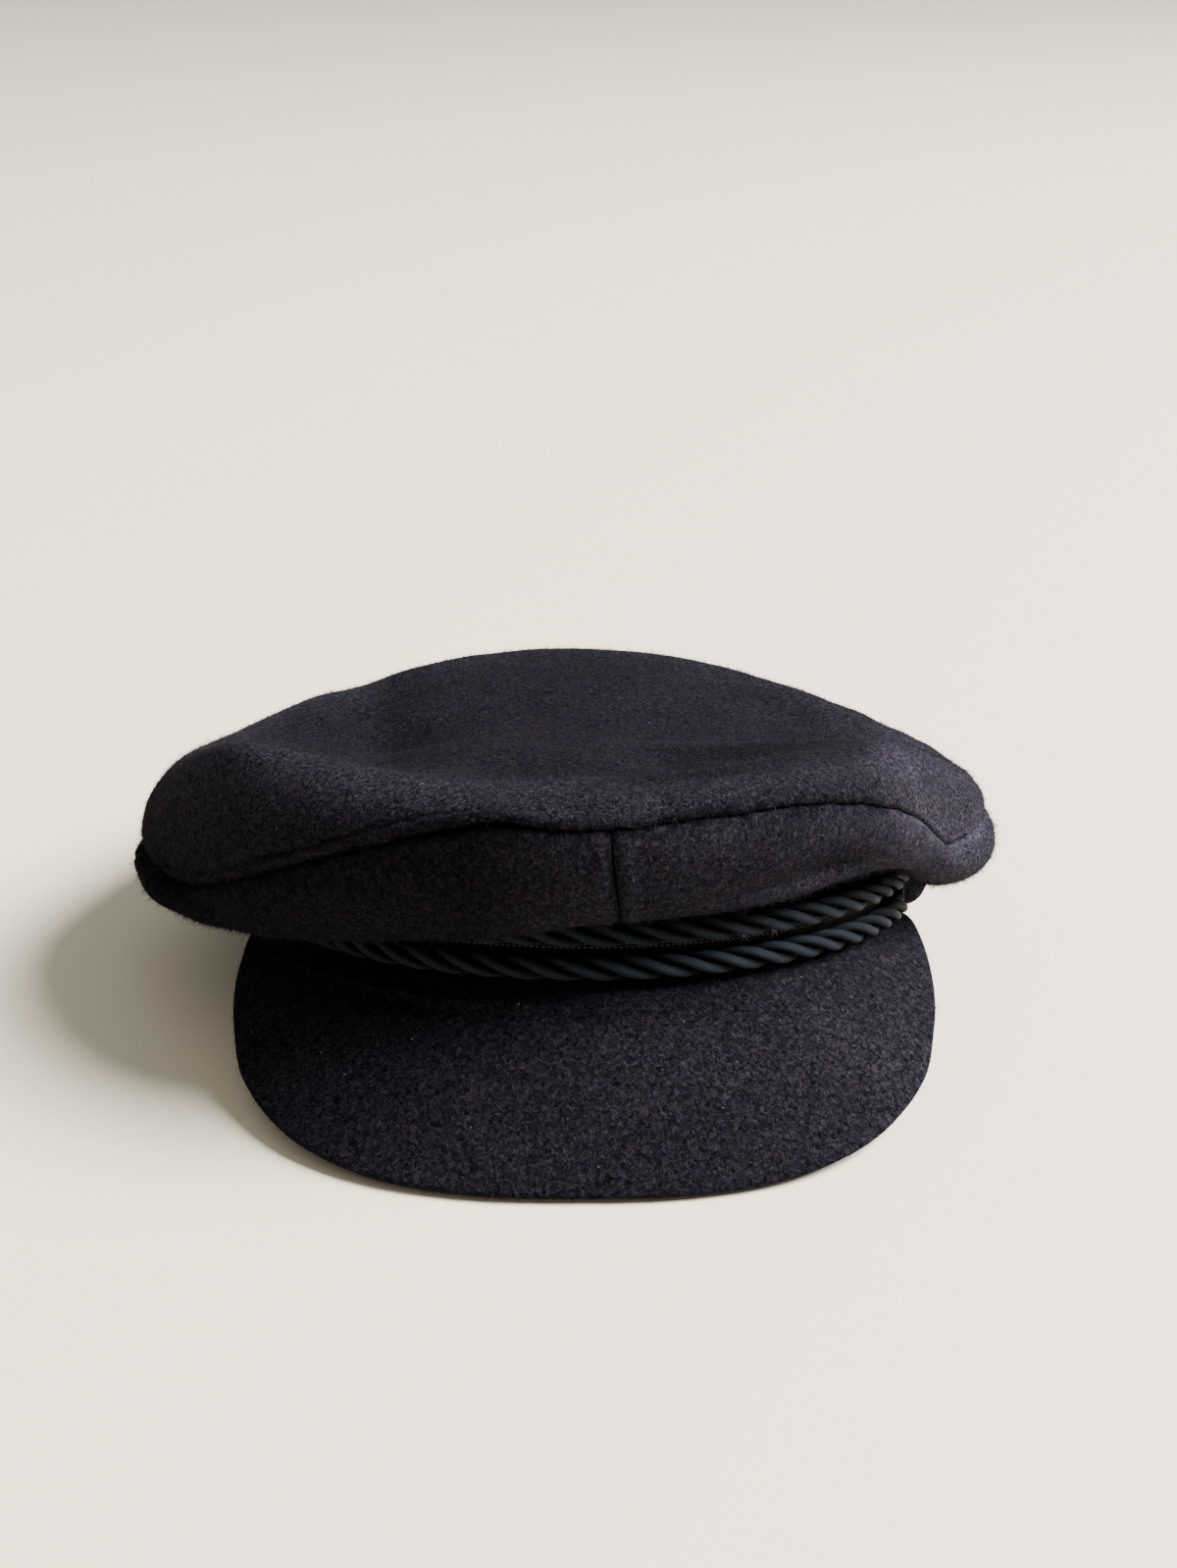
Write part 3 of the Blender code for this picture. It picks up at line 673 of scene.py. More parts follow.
def build_band(look):
    """The band: an upright wall of cloth with soft edges and a seam at the back."""
    columns = int(420 * FINE)
    angles = 2 * pi * np.arange(columns) / columns
    rounding = 0.0011
    corner = np.linspace(0, pi / 2, 5)
    upright = np.linspace(rounding, BAND_HEIGHT - rounding, 26)
    outline = []
    for up in upright:
        outline.append((0.0, up))
    for turn in corner[1:]:
        outline.append((-rounding * (1 - cos(turn)), BAND_HEIGHT - rounding * (1 - sin(turn))))
    for turn in corner[:-1]:
        outline.append((-BAND_WALL + rounding * (1 - sin(turn)),
                        BAND_HEIGHT - rounding * (1 - cos(turn))))
    for up in upright[::-5]:
        outline.append((-BAND_WALL, up))
    for turn in corner[1:]:
        outline.append((-BAND_WALL + rounding * (1 - cos(turn)), rounding * (1 - sin(turn))))
    for turn in corner[:-1]:
        outline.append((-rounding * (1 - sin(turn)), rounding * (1 - cos(turn))))
    outline = np.array(outline)
    offset = outline[None, :, 0]
    reach = band_reach(angles)[:, None] + offset
    height = band_bottom(angles)[:, None] + outline[None, :, 1]
    points = place(angles[:, None], reach, height)
    away = abs(turn_between(angles, pi))[:, None] * BAND_HALF_LENGTH
    outer_face = (outline[None, :, 0] > -0.5 * BAND_WALL)
    push = np.where(outer_face, -0.5 * MM * np.exp(-(away / (0.7 * MM)) ** 2)
                    + 0.15 * MM * bump(away, 3 * MM, 1.8 * MM), 0.0)
    behind = step_up(abs(turn_between(angles, 0.0)), radians(95), radians(115))[:, None]
    soft = step_up(height, 0.004, 0.012)
    push = push + outer_face * behind * soft * 0.22 * MM * lumps(points, 0.018, 21)
    outward = np.stack((np.sin(angles), -np.cos(angles), np.zeros(columns)), axis=1)
    points = points + outward[:, None, :] * push[..., None]
    surfaces["band"] = (points[:, :26], True)
    return ring_object("band_cloth", points, True, [look])


def build_peak(look):
    """The peak: cloth over a stiff board, its edge round, a soft roll at its root."""
    columns = int(340 * FINE)
    angles = np.linspace(-PEAK_ANGLE, PEAK_ANGLE, columns + 1)
    half = PEAK_WALL / 2
    shares = np.linspace(0, 1, int(64 * FINE) + 1)
    picks = np.linspace(0, len(shares) - 1, 12).astype(int)[::-1]
    rings, tops, painted_light = [], [], []
    for angle in angles:
        root = float(band_bottom(angle)) - PEAK_GAP - half
        length = along_peak("edge_out", angle) * (1 - PEAK_SKEW_SHARE * sin(angle)) \
            * PEAK_LENGTH
        reach = float(band_reach(angle))
        inner = (float(band_reach(angle, -BAND_WALL)), root)
        edge = (reach + length,
                half + max(along_peak("edge_up", angle), 0.0) * (root - half))
        drop = root - edge[1]
        handles = (inner, (reach + PEAK_CROWN_SHARE * length, root - 0.10 * drop),
                   (edge[0] - 0.34 * length, edge[1] + 0.42 * drop), edge)
        line = bezier(handles, np.linspace(0, 1, 161))
        ran = np.concatenate(([0.0], np.cumsum(np.hypot(*np.diff(line, axis=0).T))))
        at = (ran[-1] - half) * shares
        middle = np.stack([np.interp(at, ran, line[:, axis]) for axis in (0, 1)], axis=1)
        step = np.gradient(middle, axis=0)
        step /= np.hypot(step[:, 0], step[:, 1])[:, None]
        across = np.stack((-step[:, 1], step[:, 0]), axis=1)
        past = middle[:, 0] - reach
        roll = 1.3 * MM * bump(past, 9.6 * MM, 1.6 * MM) - 0.5 * MM * bump(past, 12.8 * MM, 1.5 * MM)
        roll = roll * bump(angle, radians(-4), radians(46)) * step_up(length, 0.012, 0.022)
        top = middle + across * (half + roll)[:, None]
        under = (middle - across * half)[picks]
        turns = np.linspace(pi / 2, -pi / 2, 9)[1:-1]
        nose = middle[-1] + half * (np.cos(turns)[:, None] * step[-1]
                                    + np.sin(turns)[:, None] * across[-1])
        ring = np.vstack((top, nose, under))
        ring[:, 1] = np.maximum(ring[:, 1], 0.0)
        rings.append(place(angle, ring[:, 0], ring[:, 1]))
        # painted light and shade: the peak's colour lighter towards the right, where the light falls, and
        # darker near its root under the crown
        painted_light.append((0.78 + 0.24 * step_up(angle, radians(12), radians(52)))
                      * (0.78 + 0.22 * step_up(ring[:, 0] - reach, 0.008, 0.024)))
        tops.append(len(top) + len(nose))
    rings = np.array(rings)
    face = rings[:, :tops[0]]
    normals = grid_normals(face[:, ::-1], closed=False)[:, ::-1]
    inside = step_up(np.arange(tops[0])[None, :], 2, 10) * np.ones((len(angles), 1))
    wave = 0.16 * MM * lumps(face, 0.020, 31) + 0.06 * MM * lumps(face, 0.007, 32)
    lifted = step_up(face[..., 2], 0.0, 0.004)
    rings[:, :tops[0]] = face + normals * (wave * inside * lifted)[..., None]
    rings[..., 2] = np.maximum(rings[..., 2], 0.0)
    surfaces["peak"] = (rings[:, :tops[0]][:, ::-1], False)
    return ring_object("peak_cloth", rings[:, ::-1], False, [look], np.array(painted_light)[:, ::-1])


# Cords, tape, buttons

def build_cord(name, up, look):
    """Three twisted strands along the band, each a tube on its own spiral."""
    strand = 0.425 * CORD_RADIUS
    offset = CORD_RADIUS - strand
    length = (BAND_HALF_LENGTH + BAND_HALF_WIDTH + 2 * CORD_OUTSIDE) * CORD_ANGLE
    columns = int(460 * FINE)
    sides = 20
    angles = np.linspace(-CORD_ANGLE - TUCKED, CORD_ANGLE + TUCKED, columns + 1)
    # the ends are pressed thin under the buttons' rims
    pressed = step_up(abs(angles), CORD_ANGLE - 0.6 * TUCKED, CORD_ANGLE + 0.7 * TUCKED)
    thin = 1 - 0.56 * pressed
    reach = band_reach(angles, CORD_OUTSIDE - CORD_RADIUS * (1 - thin))
    height = band_bottom(angles) + up + 0.18 * (BUTTON_UP - up) * pressed
    line = place(angles, reach, height)
    outward = np.stack((np.sin(angles), -np.cos(angles), np.zeros(len(angles))), axis=1)
    forward = np.gradient(line, axis=0)
    forward /= np.linalg.norm(forward, axis=1, keepdims=True)
    upward = np.cross(outward, forward)
    upward /= np.linalg.norm(upward, axis=1, keepdims=True)
    upward *= np.sign(upward[:, 2:3])
    twist = -pi * length * angles / CORD_ANGLE / CORD_LAY
    vertices, faces, spots, painted_strand_light = [], [], [], []
    for k in range(CORD_STRANDS):
        turn = twist + 2 * pi * k / CORD_STRANDS
        axis = line + offset * (thin * np.cos(turn))[:, None] * outward \
            + offset * np.sin(turn)[:, None] * upward
        along = np.gradient(axis, axis=0)
        along /= np.linalg.norm(along, axis=1, keepdims=True)
        radial = np.cos(turn)[:, None] * outward + np.sin(turn)[:, None] * upward
        radial -= along * np.sum(radial * along, axis=1, keepdims=True)
        radial /= np.linalg.norm(radial, axis=1, keepdims=True)
        side = np.cross(along, radial)
        ran = np.concatenate(([0.0], np.cumsum(np.linalg.norm(np.diff(axis, axis=0), axis=1))))
        first = len(vertices)
        round_ = 2 * pi * np.arange(sides) / sides
        swell = 1.0 + 0.015 * np.sin(ran * 900 + k)[:, None]
        # a strand is pressed flat where it meets the other two
        radius = strand * (1.03 - 0.10 * step_up(-np.cos(round_), 0.2, 1.0))[None, :] * swell \
            * (0.35 + 0.65 * thin)[:, None]
        ring = axis[:, None, :] + radius[..., None] * (
            np.cos(round_)[None, :, None] * radial[:, None, :]
            + np.sin(round_)[None, :, None] * side[:, None, :])
        vertices.extend(ring.reshape(-1, 3).tolist())
        # painted light and shade: each strand lighter on its outer crest and darker towards the gaps
        # between the strands
        crest = 0.16 + 1.15 * step_up(np.cos(round_), -0.15, 0.95)
        painted_strand_light.extend(np.tile(crest, columns + 1))
        for i in range(columns):
            for j in range(sides):
                m = (j + 1) % sides
                a, b = first + i * sides, first + (i + 1) * sides
                faces.append((a + j, b + j, b + m, a + m))
                u0, u1 = j / sides, (j + 1) / sides
                v0, v1 = ran[i] / 0.01, ran[i + 1] / 0.01
                spots.extend(((u0, v0), (u0, v1), (u1, v1), (u1, v0)))
        for i, flip in ((0, True), (columns, False)):
            ring = [first + i * sides + j for j in range(sides)]
            faces.append(tuple(reversed(ring)) if flip else tuple(ring))
            spots.extend([(0.0, 0.0)] * sides)
    made = make_object(name, vertices, faces, [look], painted_light=painted_strand_light)
    layer = made.data.uv_layers.new(name="strand")
    layer.data.foreach_set("uv", np.array(spots, np.float32).ravel())
    made.data.update()
    return made


def tape_spot(angle, out, up):
    """A place on the tape's face, measured up from the middle between the cords."""
    return place(angle, band_reach(angle, GAP + TAPE_WALL + out),
                 band_bottom(angle) + BUTTON_UP + up)


def capsule(ends, radius, sides=6):
    """A thread between two points, pointed at its ends."""
    a, b = (np.array(end, float) for end in ends)
    axis = b - a
    length = np.linalg.norm(axis)
    axis /= length
    across = np.cross(axis, (0.3, 0.2, 0.93))
    across /= np.linalg.norm(across)
    other = np.cross(axis, across)
    vertices = [a]
    for share, size in ((0.12, 0.75), (0.35, 1.0), (0.65, 1.0), (0.88, 0.75)):
        for j in range(sides):
            turn = 2 * pi * j / sides
            vertices.append(a + axis * length * share
                            + radius * size * (cos(turn) * across + sin(turn) * other))
    vertices.append(b)
    faces = []
    for j in range(sides):
        m = (j + 1) % sides
        faces.append((0, 1 + m, 1 + j))
        for r in range(3):
            faces.append((1 + r * sides + j, 1 + r * sides + m,
                          1 + (r + 1) * sides + m, 1 + (r + 1) * sides + j))
        faces.append((1 + 3 * sides + j, 1 + 3 * sides + m, len(vertices) - 1))
    return vertices, faces


def join_up(parts):
    vertices, faces, counts = [], [], []
    for some, rings in parts:
        first = len(vertices)
        vertices.extend(some)
        faces.extend(tuple(first + i for i in ring) for ring in rings)
        counts.append(len(rings))
    return vertices, faces, counts


def build_tape(look, thread):
    """The flat tape behind the cords, with two rows of small stitches along it."""
    columns = int(260 * FINE)
    angles = np.linspace(-CORD_ANGLE - TUCKED, CORD_ANGLE + TUCKED, columns + 1)
    low = LOWER_CORD_UP - TAPE_MARGIN - BUTTON_UP
    high = UPPER_CORD_UP + TAPE_MARGIN - BUTTON_UP
    outline = [(0.0, low)]
    for share in np.linspace(0.0, 1.0, 13):
        outline.append((0.25 * MM * (1 - (2 * share - 1) ** 4), mix(low, high, share)))
    outline += [(-TAPE_WALL, high), (-TAPE_WALL, low)]
    outline = np.array(outline[1:])
    rings = tape_spot(angles[:, None], outline[None, :, 0], outline[None, :, 1])
    tape = ring_object("tape_braid", rings, False, [look])
    parts = []
    for row in (-0.55 * MM, 0.55 * MM):
        spacing = 1.7 * MM / 0.103
        count = int(2 * (CORD_ANGLE - 0.02) / spacing)
        for i in range(count):
            a = -CORD_ANGLE + 0.02 + i * spacing
            ends = [tape_spot(a + turn, 0.34 * MM, row) for turn in (0, 0.62 * spacing)]
            parts.append(capsule(ends, 0.17 * MM))
    for middle in (radians(26.5), radians(32.5)):
        turn = 1.5 * MM / 0.103
        for tilt in (-1, 1):
            ends = [tape_spot(middle - tilt * turn, 0.55 * MM, -1.9 * MM),
                    tape_spot(middle + tilt * turn, 0.55 * MM, 1.9 * MM)]
            parts.append(capsule(ends, 0.22 * MM))
        ends = [tape_spot(middle - turn, 0.6 * MM, 0.2 * MM),
                tape_spot(middle + turn, 0.6 * MM, 0.2 * MM)]
        parts.append(capsule(ends, 0.2 * MM))
    vertices, faces, _ = join_up(parts)
    stitches = make_object("tape_stitches", vertices, faces, [thread])
    return tape, stitches


def build_button(name, angle, cloth, gloss):
    """A cloth covered dome in a thin glossy rim, on a shank off the band."""
    rim = BUTTON_STAND + BUTTON_RIM
    shank = BUTTON_SHANK + 2.0 * MM
    profile = [(0.0, 0.001, 0), (0.0, shank, 0), (BUTTON_STAND, shank, 0)]
    lip = BUTTON_RIM / 2
    radius = BUTTON_RADIUS + 0.9 * MM
    for i in range(9):
        turn = pi - pi * i / 8 * 1.25
        profile.append((BUTTON_STAND + lip + lip * cos(turn),
                        radius - lip + lip * sin(turn), 1))
    dome = BUTTON_DOME + 1.8 * MM - BUTTON_RIM
    shoulder = radius - 2.1 * lip
    for i in range(1, 15):
        turn = pi / 2 * i / 15
        profile.append((rim - 0.1 * MM + (dome + 0.1 * MM) * sin(turn) ** 1.1,
                        shoulder * cos(turn) ** 1.05, 0))
    sides = 64
    vertices, faces, looks = [], [], []
    base = place(angle, band_reach(angle) + GAP, band_bottom(angle) + BUTTON_UP)
    outward = np.array((sin(angle), -cos(angle), 0.0))
    across = np.array((cos(angle), sin(angle), 0.0))
    up = np.array((0.0, 0.0, 1.0))
    for out, size, _ in profile:
        for j in range(sides):
            turn = 2 * pi * j / sides
            vertices.append(base + outward * out
                            + size * (cos(turn) * across + sin(turn) * up))
    for i in range(len(profile) - 1):
        for j in range(sides):
            m = (j + 1) % sides
            faces.append((i * sides + j, (i + 1) * sides + j,
                          (i + 1) * sides + m, i * sides + m))
            looks.append(profile[i + 1][2])
    tip = len(vertices)
    vertices.append(base + outward * (rim + dome))
    last = (len(profile) - 1) * sides
    for j in range(sides):
        faces.append((last + j, tip, last + (j + 1) % sides))
        looks.append(0)
    faces.append(tuple(range(sides)))
    looks.append(1)
    # the dome's cloth is painted half again lighter than the side's wool: a painted sheen
    return make_object(name, vertices, faces, [cloth, gloss], looks,
                       np.full(len(vertices), 1.5))


# Nap and lint

def scattered(grid, closed, count, random, keep=None):
    """Random places on a grid's surface, with their normals."""
    points = np.concatenate((grid, grid[:1])) if closed else grid
    a, b = points[:-1, :-1], points[1:, :-1]
    c, d = points[1:, 1:], points[:-1, 1:]
    normals = np.cross(c - a, d - b)
    size = np.linalg.norm(normals, axis=-1)
    weight = size.copy()
    if keep is not None:
        weight *= keep((a + c) / 2)
    flat = weight.ravel() / weight.sum()
    chosen = random.choice(len(flat), count, p=flat)
    u, v = random.random((2, count, 1))
    a, b, c, d = (corner.reshape(-1, 3)[chosen] for corner in (a, b, c, d))
    spots = (a * (1 - u) + b * u) * (1 - v) + (d * (1 - u) + c * u) * v
    normals = normals.reshape(-1, 3)[chosen] / np.maximum(size.ravel()[chosen], 1e-12)[:, None]
    return spots, normals


def build_nap(name, grid, closed, count, look, seed, length=(0.5, 1.3), keep=None,
              thickness=(0.028, 0.05)):
    """Short wool fibres that stand off the cloth, each a thin closed needle."""
    random = np.random.default_rng(seed)
    count = int(count * FINE)
    spots, normals = scattered(grid, closed, count, random, keep)
    lean = random.normal(size=(count, 3))
    lean -= normals * np.sum(lean * normals, axis=1, keepdims=True)
    lean /= np.linalg.norm(lean, axis=1, keepdims=True)
    rise = random.uniform(0.25, 1.0, (count, 1))
    way = normals * rise + lean * np.sqrt(1.05 - rise ** 2)
    way /= np.linalg.norm(way, axis=1, keepdims=True)
    long = random.uniform(length[0], length[1], (count, 1)) ** 1.3 * MM
    thick = random.uniform(*thickness, (count, 1)) * MM
    side = np.cross(way, normals + 0.01)
    side /= np.linalg.norm(side, axis=1, keepdims=True)
    third = np.cross(way, side)
    base = spots - normals * 0.05 * MM
    corners = [base + thick * (cos(turn) * side + sin(turn) * third)
               for turn in (0, 2 * pi / 3, 4 * pi / 3)]
    tip = base + way * long
    tip[:, 2] = np.maximum(tip[:, 2], 0.00005)
    vertices = np.stack(corners + [tip], axis=1).reshape(-1, 3)
    first = 4 * np.arange(count)[:, None]
    faces = np.concatenate([first + np.array(f) for f in
                            ((0, 1, 3), (1, 2, 3), (2, 0, 3), (2, 1, 0))])
    return make_object(name, vertices, faces.tolist(), [look])


def on_the_edge(spots):
    """Hairs stand out most on the cap's outer edges."""
    away = np.hypot(spots[..., 0] - MIDDLE[0], spots[..., 1] - MIDDLE[1])
    return step_up(away, 0.088, 0.106)


def under_the_fold(spots):
    """Hairs hang from the lower half of the crown's sides."""
    return 0.25 + step_up(-spots[..., 2], -0.078, -0.058)


# Lint on the cap as the camera sees it: across and down the picture in 1200ths of its
# width, the length in millimetres and the turn on the cloth.
LINT = (
    (529, 1024, 1.3, 20), (328, 1074, 1.0, 70), (352, 1096, 0.9, 130), (339, 1010, 0.8, 10),
    (258, 1104, 1.0, 45), (799, 1003, 1.2, 80), (817, 997, 0.9, 15), (697, 1042, 0.7, 60),
    (795, 1041, 0.7, 30), (675, 1091, 0.6, 110), (737, 1130, 0.7, 140), (588, 913, 0.6, 20),
    (662, 738, 0.6, 90), (845, 968, 0.8, 5), (283, 845, 0.7, 60), (905, 980, 0.7, 75),
    (860, 760, 0.6, 30), (480, 1150, 0.6, 10), (420, 1060, 0.6, 100), (610, 1190, 0.6, 40),
)


def build_lint(camera, targets, look):
    vertices, polygons = [], []
    for piece in targets:
        first = len(vertices)
        vertices.extend(v.co for v in piece.data.vertices)
        polygons.extend([first + i for i in p.vertices] for p in piece.data.polygons)
    tree = BVHTree.FromPolygons(vertices, polygons)
    random = np.random.default_rng(91)
    parts = []
    for x, y, length, turn in LINT:
        way = Vector(((x - 600) / FOCUS, (799.5 - y) / FOCUS, -1.0))
        way = (camera.matrix_world.to_3x3() @ way).normalized()
        spot, normal, _, _ = tree.ray_cast(camera.location, way)
        if spot is None:
            continue
        along = normal.orthogonal().normalized()
        other = normal.cross(along)
        direction = along * cos(radians(turn)) + other * sin(radians(turn))
        bend = other * cos(radians(turn)) - along * sin(radians(turn))
        previous = None
        for i in range(5):
            t = i / 4 - 0.5
            here = spot + normal * 0.25 * MM + direction * t * length * MM \
                + bend * (t * t - 0.1) * length * MM * random.uniform(0.5, 1.1)
            if previous is not None:
                parts.append(capsule((previous, here), 0.055 * MM, 5))
            previous = here
    made, faces, _ = join_up(parts)
    return make_object("lint", made, faces, [look])


# Materials

class Look:
    """A Principled material and short calls for its nodes."""

    def __init__(self, name, colour, roughness):
        self.made = bpy.data.materials.new(name)
        self.made.use_nodes = True
        self.tree = self.made.node_tree
        self.shader = self.tree.nodes["Principled BSDF"]
        self.set("Base Color", (*colour, 1.0))
        self.set("Roughness", roughness)
        self.made.diffuse_color = (*colour, 1.0)

    def set(self, socket, value):
        self.shader.inputs[socket].default_value = value

    def node(self, kind, **values):
        made = self.tree.nodes.new(kind)
        for key, value in values.items():
            setattr(made, key, value)
        return made

    def link(self, start, end):
        self.tree.links.new(start, end)

    def coordinates(self, stretch=(1, 1, 1)):
        spot = self.node("ShaderNodeTexCoord")
        scaled = self.node("ShaderNodeMapping")
        scaled.inputs["Scale"].default_value = stretch
        self.link(spot.outputs["Object"], scaled.inputs["Vector"])
        return scaled.outputs["Vector"]

    def noise(self, vector, scale, detail=3.0, rough=0.5, distortion=0.0):
        made = self.node("ShaderNodeTexNoise")
        made.inputs["Scale"].default_value = scale
        made.inputs["Detail"].default_value = detail
        made.inputs["Roughness"].default_value = rough
        made.inputs["Distortion"].default_value = distortion
        self.link(vector, made.inputs["Vector"])
        return made.outputs["Fac"]

    def ramp(self, value, stops):
        made = self.node("ShaderNodeValToRGB")
        points = made.color_ramp.elements
        while len(points) < len(stops):
            points.new(0.5)
        for point, (where, colour) in zip(points, stops):
            point.position = where
            point.color = (*colour, 1.0) if len(colour) == 3 else colour
        self.link(value, made.inputs["Fac"])
        return made.outputs["Color"]

    def math(self, kind, a, b=None, clamp=False):
        made = self.node("ShaderNodeMath", operation=kind, use_clamp=clamp)
        for i, value in enumerate((a, b)):
            if value is None:
                continue
            if isinstance(value, (int, float)):
                made.inputs[i].default_value = value
            else:
                self.link(value, made.inputs[i])
        return made.outputs["Value"]

    def mixed(self, kind, amount, a, b):
        made = self.node("ShaderNodeMix", data_type="RGBA", blend_type=kind)
        for socket, value in ((made.inputs[0], amount), (made.inputs[6], a),
                              (made.inputs[7], b)):
            if isinstance(value, (int, float)):
                socket.default_value = value
            elif isinstance(value, tuple):
                socket.default_value = (*value, 1.0)
            else:
                self.link(value, socket)
        return made.outputs[2]

    def bump(self, height, strength, distance, normal=None):
        made = self.node("ShaderNodeBump")
        made.inputs["Strength"].default_value = strength
        made.inputs["Distance"].default_value = distance
        self.link(height, made.inputs["Height"])
        if normal is not None:
            self.link(normal, made.inputs["Normal"])
        return made.outputs["Normal"]


def wool_look(name, stretch=(1, 1, 1), grain=950.0, contrast=1.0, relief=0.5, shade=1.0):
    """Brushed melton wool: felted clumps of about a millimetre under a fine nap."""
    look = Look(name, (0.013, 0.012, 0.016), 0.95)
    spot = look.coordinates(stretch)
    plain = look.coordinates()
    clumps = look.noise(spot, grain, 3.0, 0.62, 0.9)
    fibres = look.noise(spot, grain * 3.1, 3.0, 0.65, 1.6)
    patches = look.noise(plain, 34.0, 3.0, 0.55)
    hue = look.noise(plain, 210.0, 2.0, 0.5)
    # the last argument darkens this copy of the wool: painted shade
    grey = 0.0113 * shade
    dark = tuple(grey * c * (1 - 0.70 * contrast) for c in (0.80, 0.87, 1.42))
    middle = tuple(grey * c for c in (0.94, 0.91, 1.30))
    light = tuple(grey * c * (1 + 1.30 * contrast) for c in (1.03, 0.94, 1.20))
    even = look.ramp(clumps, ((0.34, dark), (0.50, middle), (0.66, light)))
    threads = look.ramp(fibres, ((0.40, (0.45, 0.45, 0.47)), (0.56, (1.0, 1.0, 1.0)),
                                 (0.70, (2.3, 2.25, 2.2))))
    colour = look.mixed("MULTIPLY", 1.0, even, threads)
    patch_tone = look.ramp(patches, ((0.30, (0.84, 0.84, 0.86)), (0.70, (1.14, 1.12, 1.10))))
    colour = look.mixed("MULTIPLY", 1.0, colour, patch_tone)
    tint = look.ramp(hue, ((0.35, (0.90, 0.99, 1.06)), (0.65, (1.09, 0.98, 1.03))))
    colour = look.mixed("MULTIPLY", 1.0, colour, tint)
    # painted light and shade, carried on the mesh, multiplied into the colour
    painted_light = look.node("ShaderNodeAttribute", attribute_name="painted_light")
    colour = look.mixed("MULTIPLY", 1.0, colour, painted_light.outputs["Color"])
    look.link(colour, look.shader.inputs["Base Color"])
    rough = look.ramp(clumps, ((0.3, (0.98, 0.98, 0.98)), (0.75, (0.85, 0.85, 0.85))))
    look.link(rough, look.shader.inputs["Roughness"])
    normal = look.bump(clumps, relief, 1.1 * MM)
    normal = look.bump(fibres, relief * 0.8, 0.35 * MM, normal)
    look.link(normal, look.shader.inputs["Normal"])
    look.set("Specular IOR Level", 0.01)
    return look.made


def nap_look():
    look = Look("wool_nap", (0.020, 0.019, 0.025), 0.9)
    tone = look.noise(look.coordinates(), 420.0, 2.0, 0.6)
    colour = look.ramp(tone, ((0.34, (0.009, 0.0085, 0.013)), (0.56, (0.019, 0.018, 0.026)),
                              (0.72, (0.042, 0.040, 0.052))))
    look.link(colour, look.shader.inputs["Base Color"])
    look.set("Specular IOR Level", 0.02)
    return look.made


def cord_look():
    """Satin filament yarn, its fine threads turning around each strand."""
    look = Look("cord_satin", (0.0036, 0.0046, 0.0046), 0.5)
    uv = look.node("ShaderNodeUVMap", uv_map="strand")
    parts = look.node("ShaderNodeSeparateXYZ")
    look.link(uv.outputs["UV"], parts.inputs["Vector"])
    waviness = look.noise(look.coordinates(), 500.0, 3.0, 0.6)
    around_ = look.math("MULTIPLY", parts.outputs["X"], 2 * pi * 26)
    along = look.math("MULTIPLY", parts.outputs["Y"], 2 * pi * 3.4)
    turned = look.math("ADD", look.math("ADD", around_, along), look.math("MULTIPLY", waviness, 9.0))
    threads = look.math("ADD", look.math("MULTIPLY", look.math("SINE", turned), 0.5), 0.5)
    soft = look.noise(look.coordinates(), 1900.0, 3.0, 0.6)
    height = look.math("ADD", look.math("MULTIPLY", threads, 0.7), look.math("MULTIPLY", soft, 0.6))
    look.link(look.bump(height, 0.55, 0.22 * MM), look.shader.inputs["Normal"])
    tone = look.ramp(height, ((0.2, (0.0018, 0.0026, 0.0040)), (0.6, (0.0048, 0.0064, 0.0093)),
                              (1.0, (0.0102, 0.0132, 0.0182))))
    # the strands' painted light and shade, carried on the mesh, multiplied into the colour
    crest = look.node("ShaderNodeAttribute", attribute_name="painted_light")
    tone = look.mixed("MULTIPLY", 1.0, tone, crest.outputs["Color"])
    look.link(tone, look.shader.inputs["Base Color"])
    rough = look.ramp(soft, ((0.3, (0.40, 0.40, 0.40)), (0.7, (0.58, 0.58, 0.58))))
    look.link(rough, look.shader.inputs["Roughness"])
    look.set("Specular IOR Level", 0.025)
    return look.made


def tape_look():
    look = Look("tape_braid", (0.002, 0.002, 0.0025), 0.6)
    spot = look.coordinates()
    weave = look.node("ShaderNodeTexVoronoi")
    weave.inputs["Scale"].default_value = 1900.0
    look.link(spot, weave.inputs["Vector"])
    cells = weave.outputs["Distance"]
    tone = look.ramp(cells, ((0.0, (0.0040, 0.0042, 0.0048)), (0.6, (0.0010, 0.0010, 0.0013))))
    look.link(tone, look.shader.inputs["Base Color"])
    look.link(look.bump(cells, 0.5, 0.3 * MM), look.shader.inputs["Normal"])
    look.set("Specular IOR Level", 0.04)
    return look.made


def thread_look():
    look = Look("stitch_thread", (0.014, 0.015, 0.017), 0.5)
    tone = look.noise(look.coordinates(), 1500.0, 2.0, 0.5)
    look.link(look.ramp(tone, ((0.3, (0.022, 0.024, 0.028)), (0.7, (0.085, 0.090, 0.098)))),
              look.shader.inputs["Base Color"])
    look.set("Specular IOR Level", 0.1)
    return look.made


def gloss_look():
    """The button's rim: smooth dark lacquer, a little scuffed."""
    look = Look("button_rim", (0.014, 0.014, 0.016), 0.3)
    lightness = look.noise(look.coordinates(), 700.0, 3.0, 0.6)
    look.link(look.ramp(lightness, ((0.4, (0.008, 0.008, 0.009)), (0.75, (0.030, 0.029, 0.028)))),
              look.shader.inputs["Base Color"])
    look.link(look.ramp(lightness, ((0.3, (0.3, 0.3, 0.3)), (0.8, (0.5, 0.5, 0.5)))),
              look.shader.inputs["Roughness"])
    look.set("Specular IOR Level", 0.06)
    return look.made


def lint_look():
    look = Look("lint_fibre", (0.15, 0.145, 0.135), 0.8)
    tone = look.noise(look.coordinates(), 900.0, 2.0, 0.5)
    look.link(look.ramp(tone, ((0.3, (0.08, 0.078, 0.072)), (0.7, (0.22, 0.21, 0.195)))),
              look.shader.inputs["Base Color"])
    return look.made


# The view: camera, light, floor

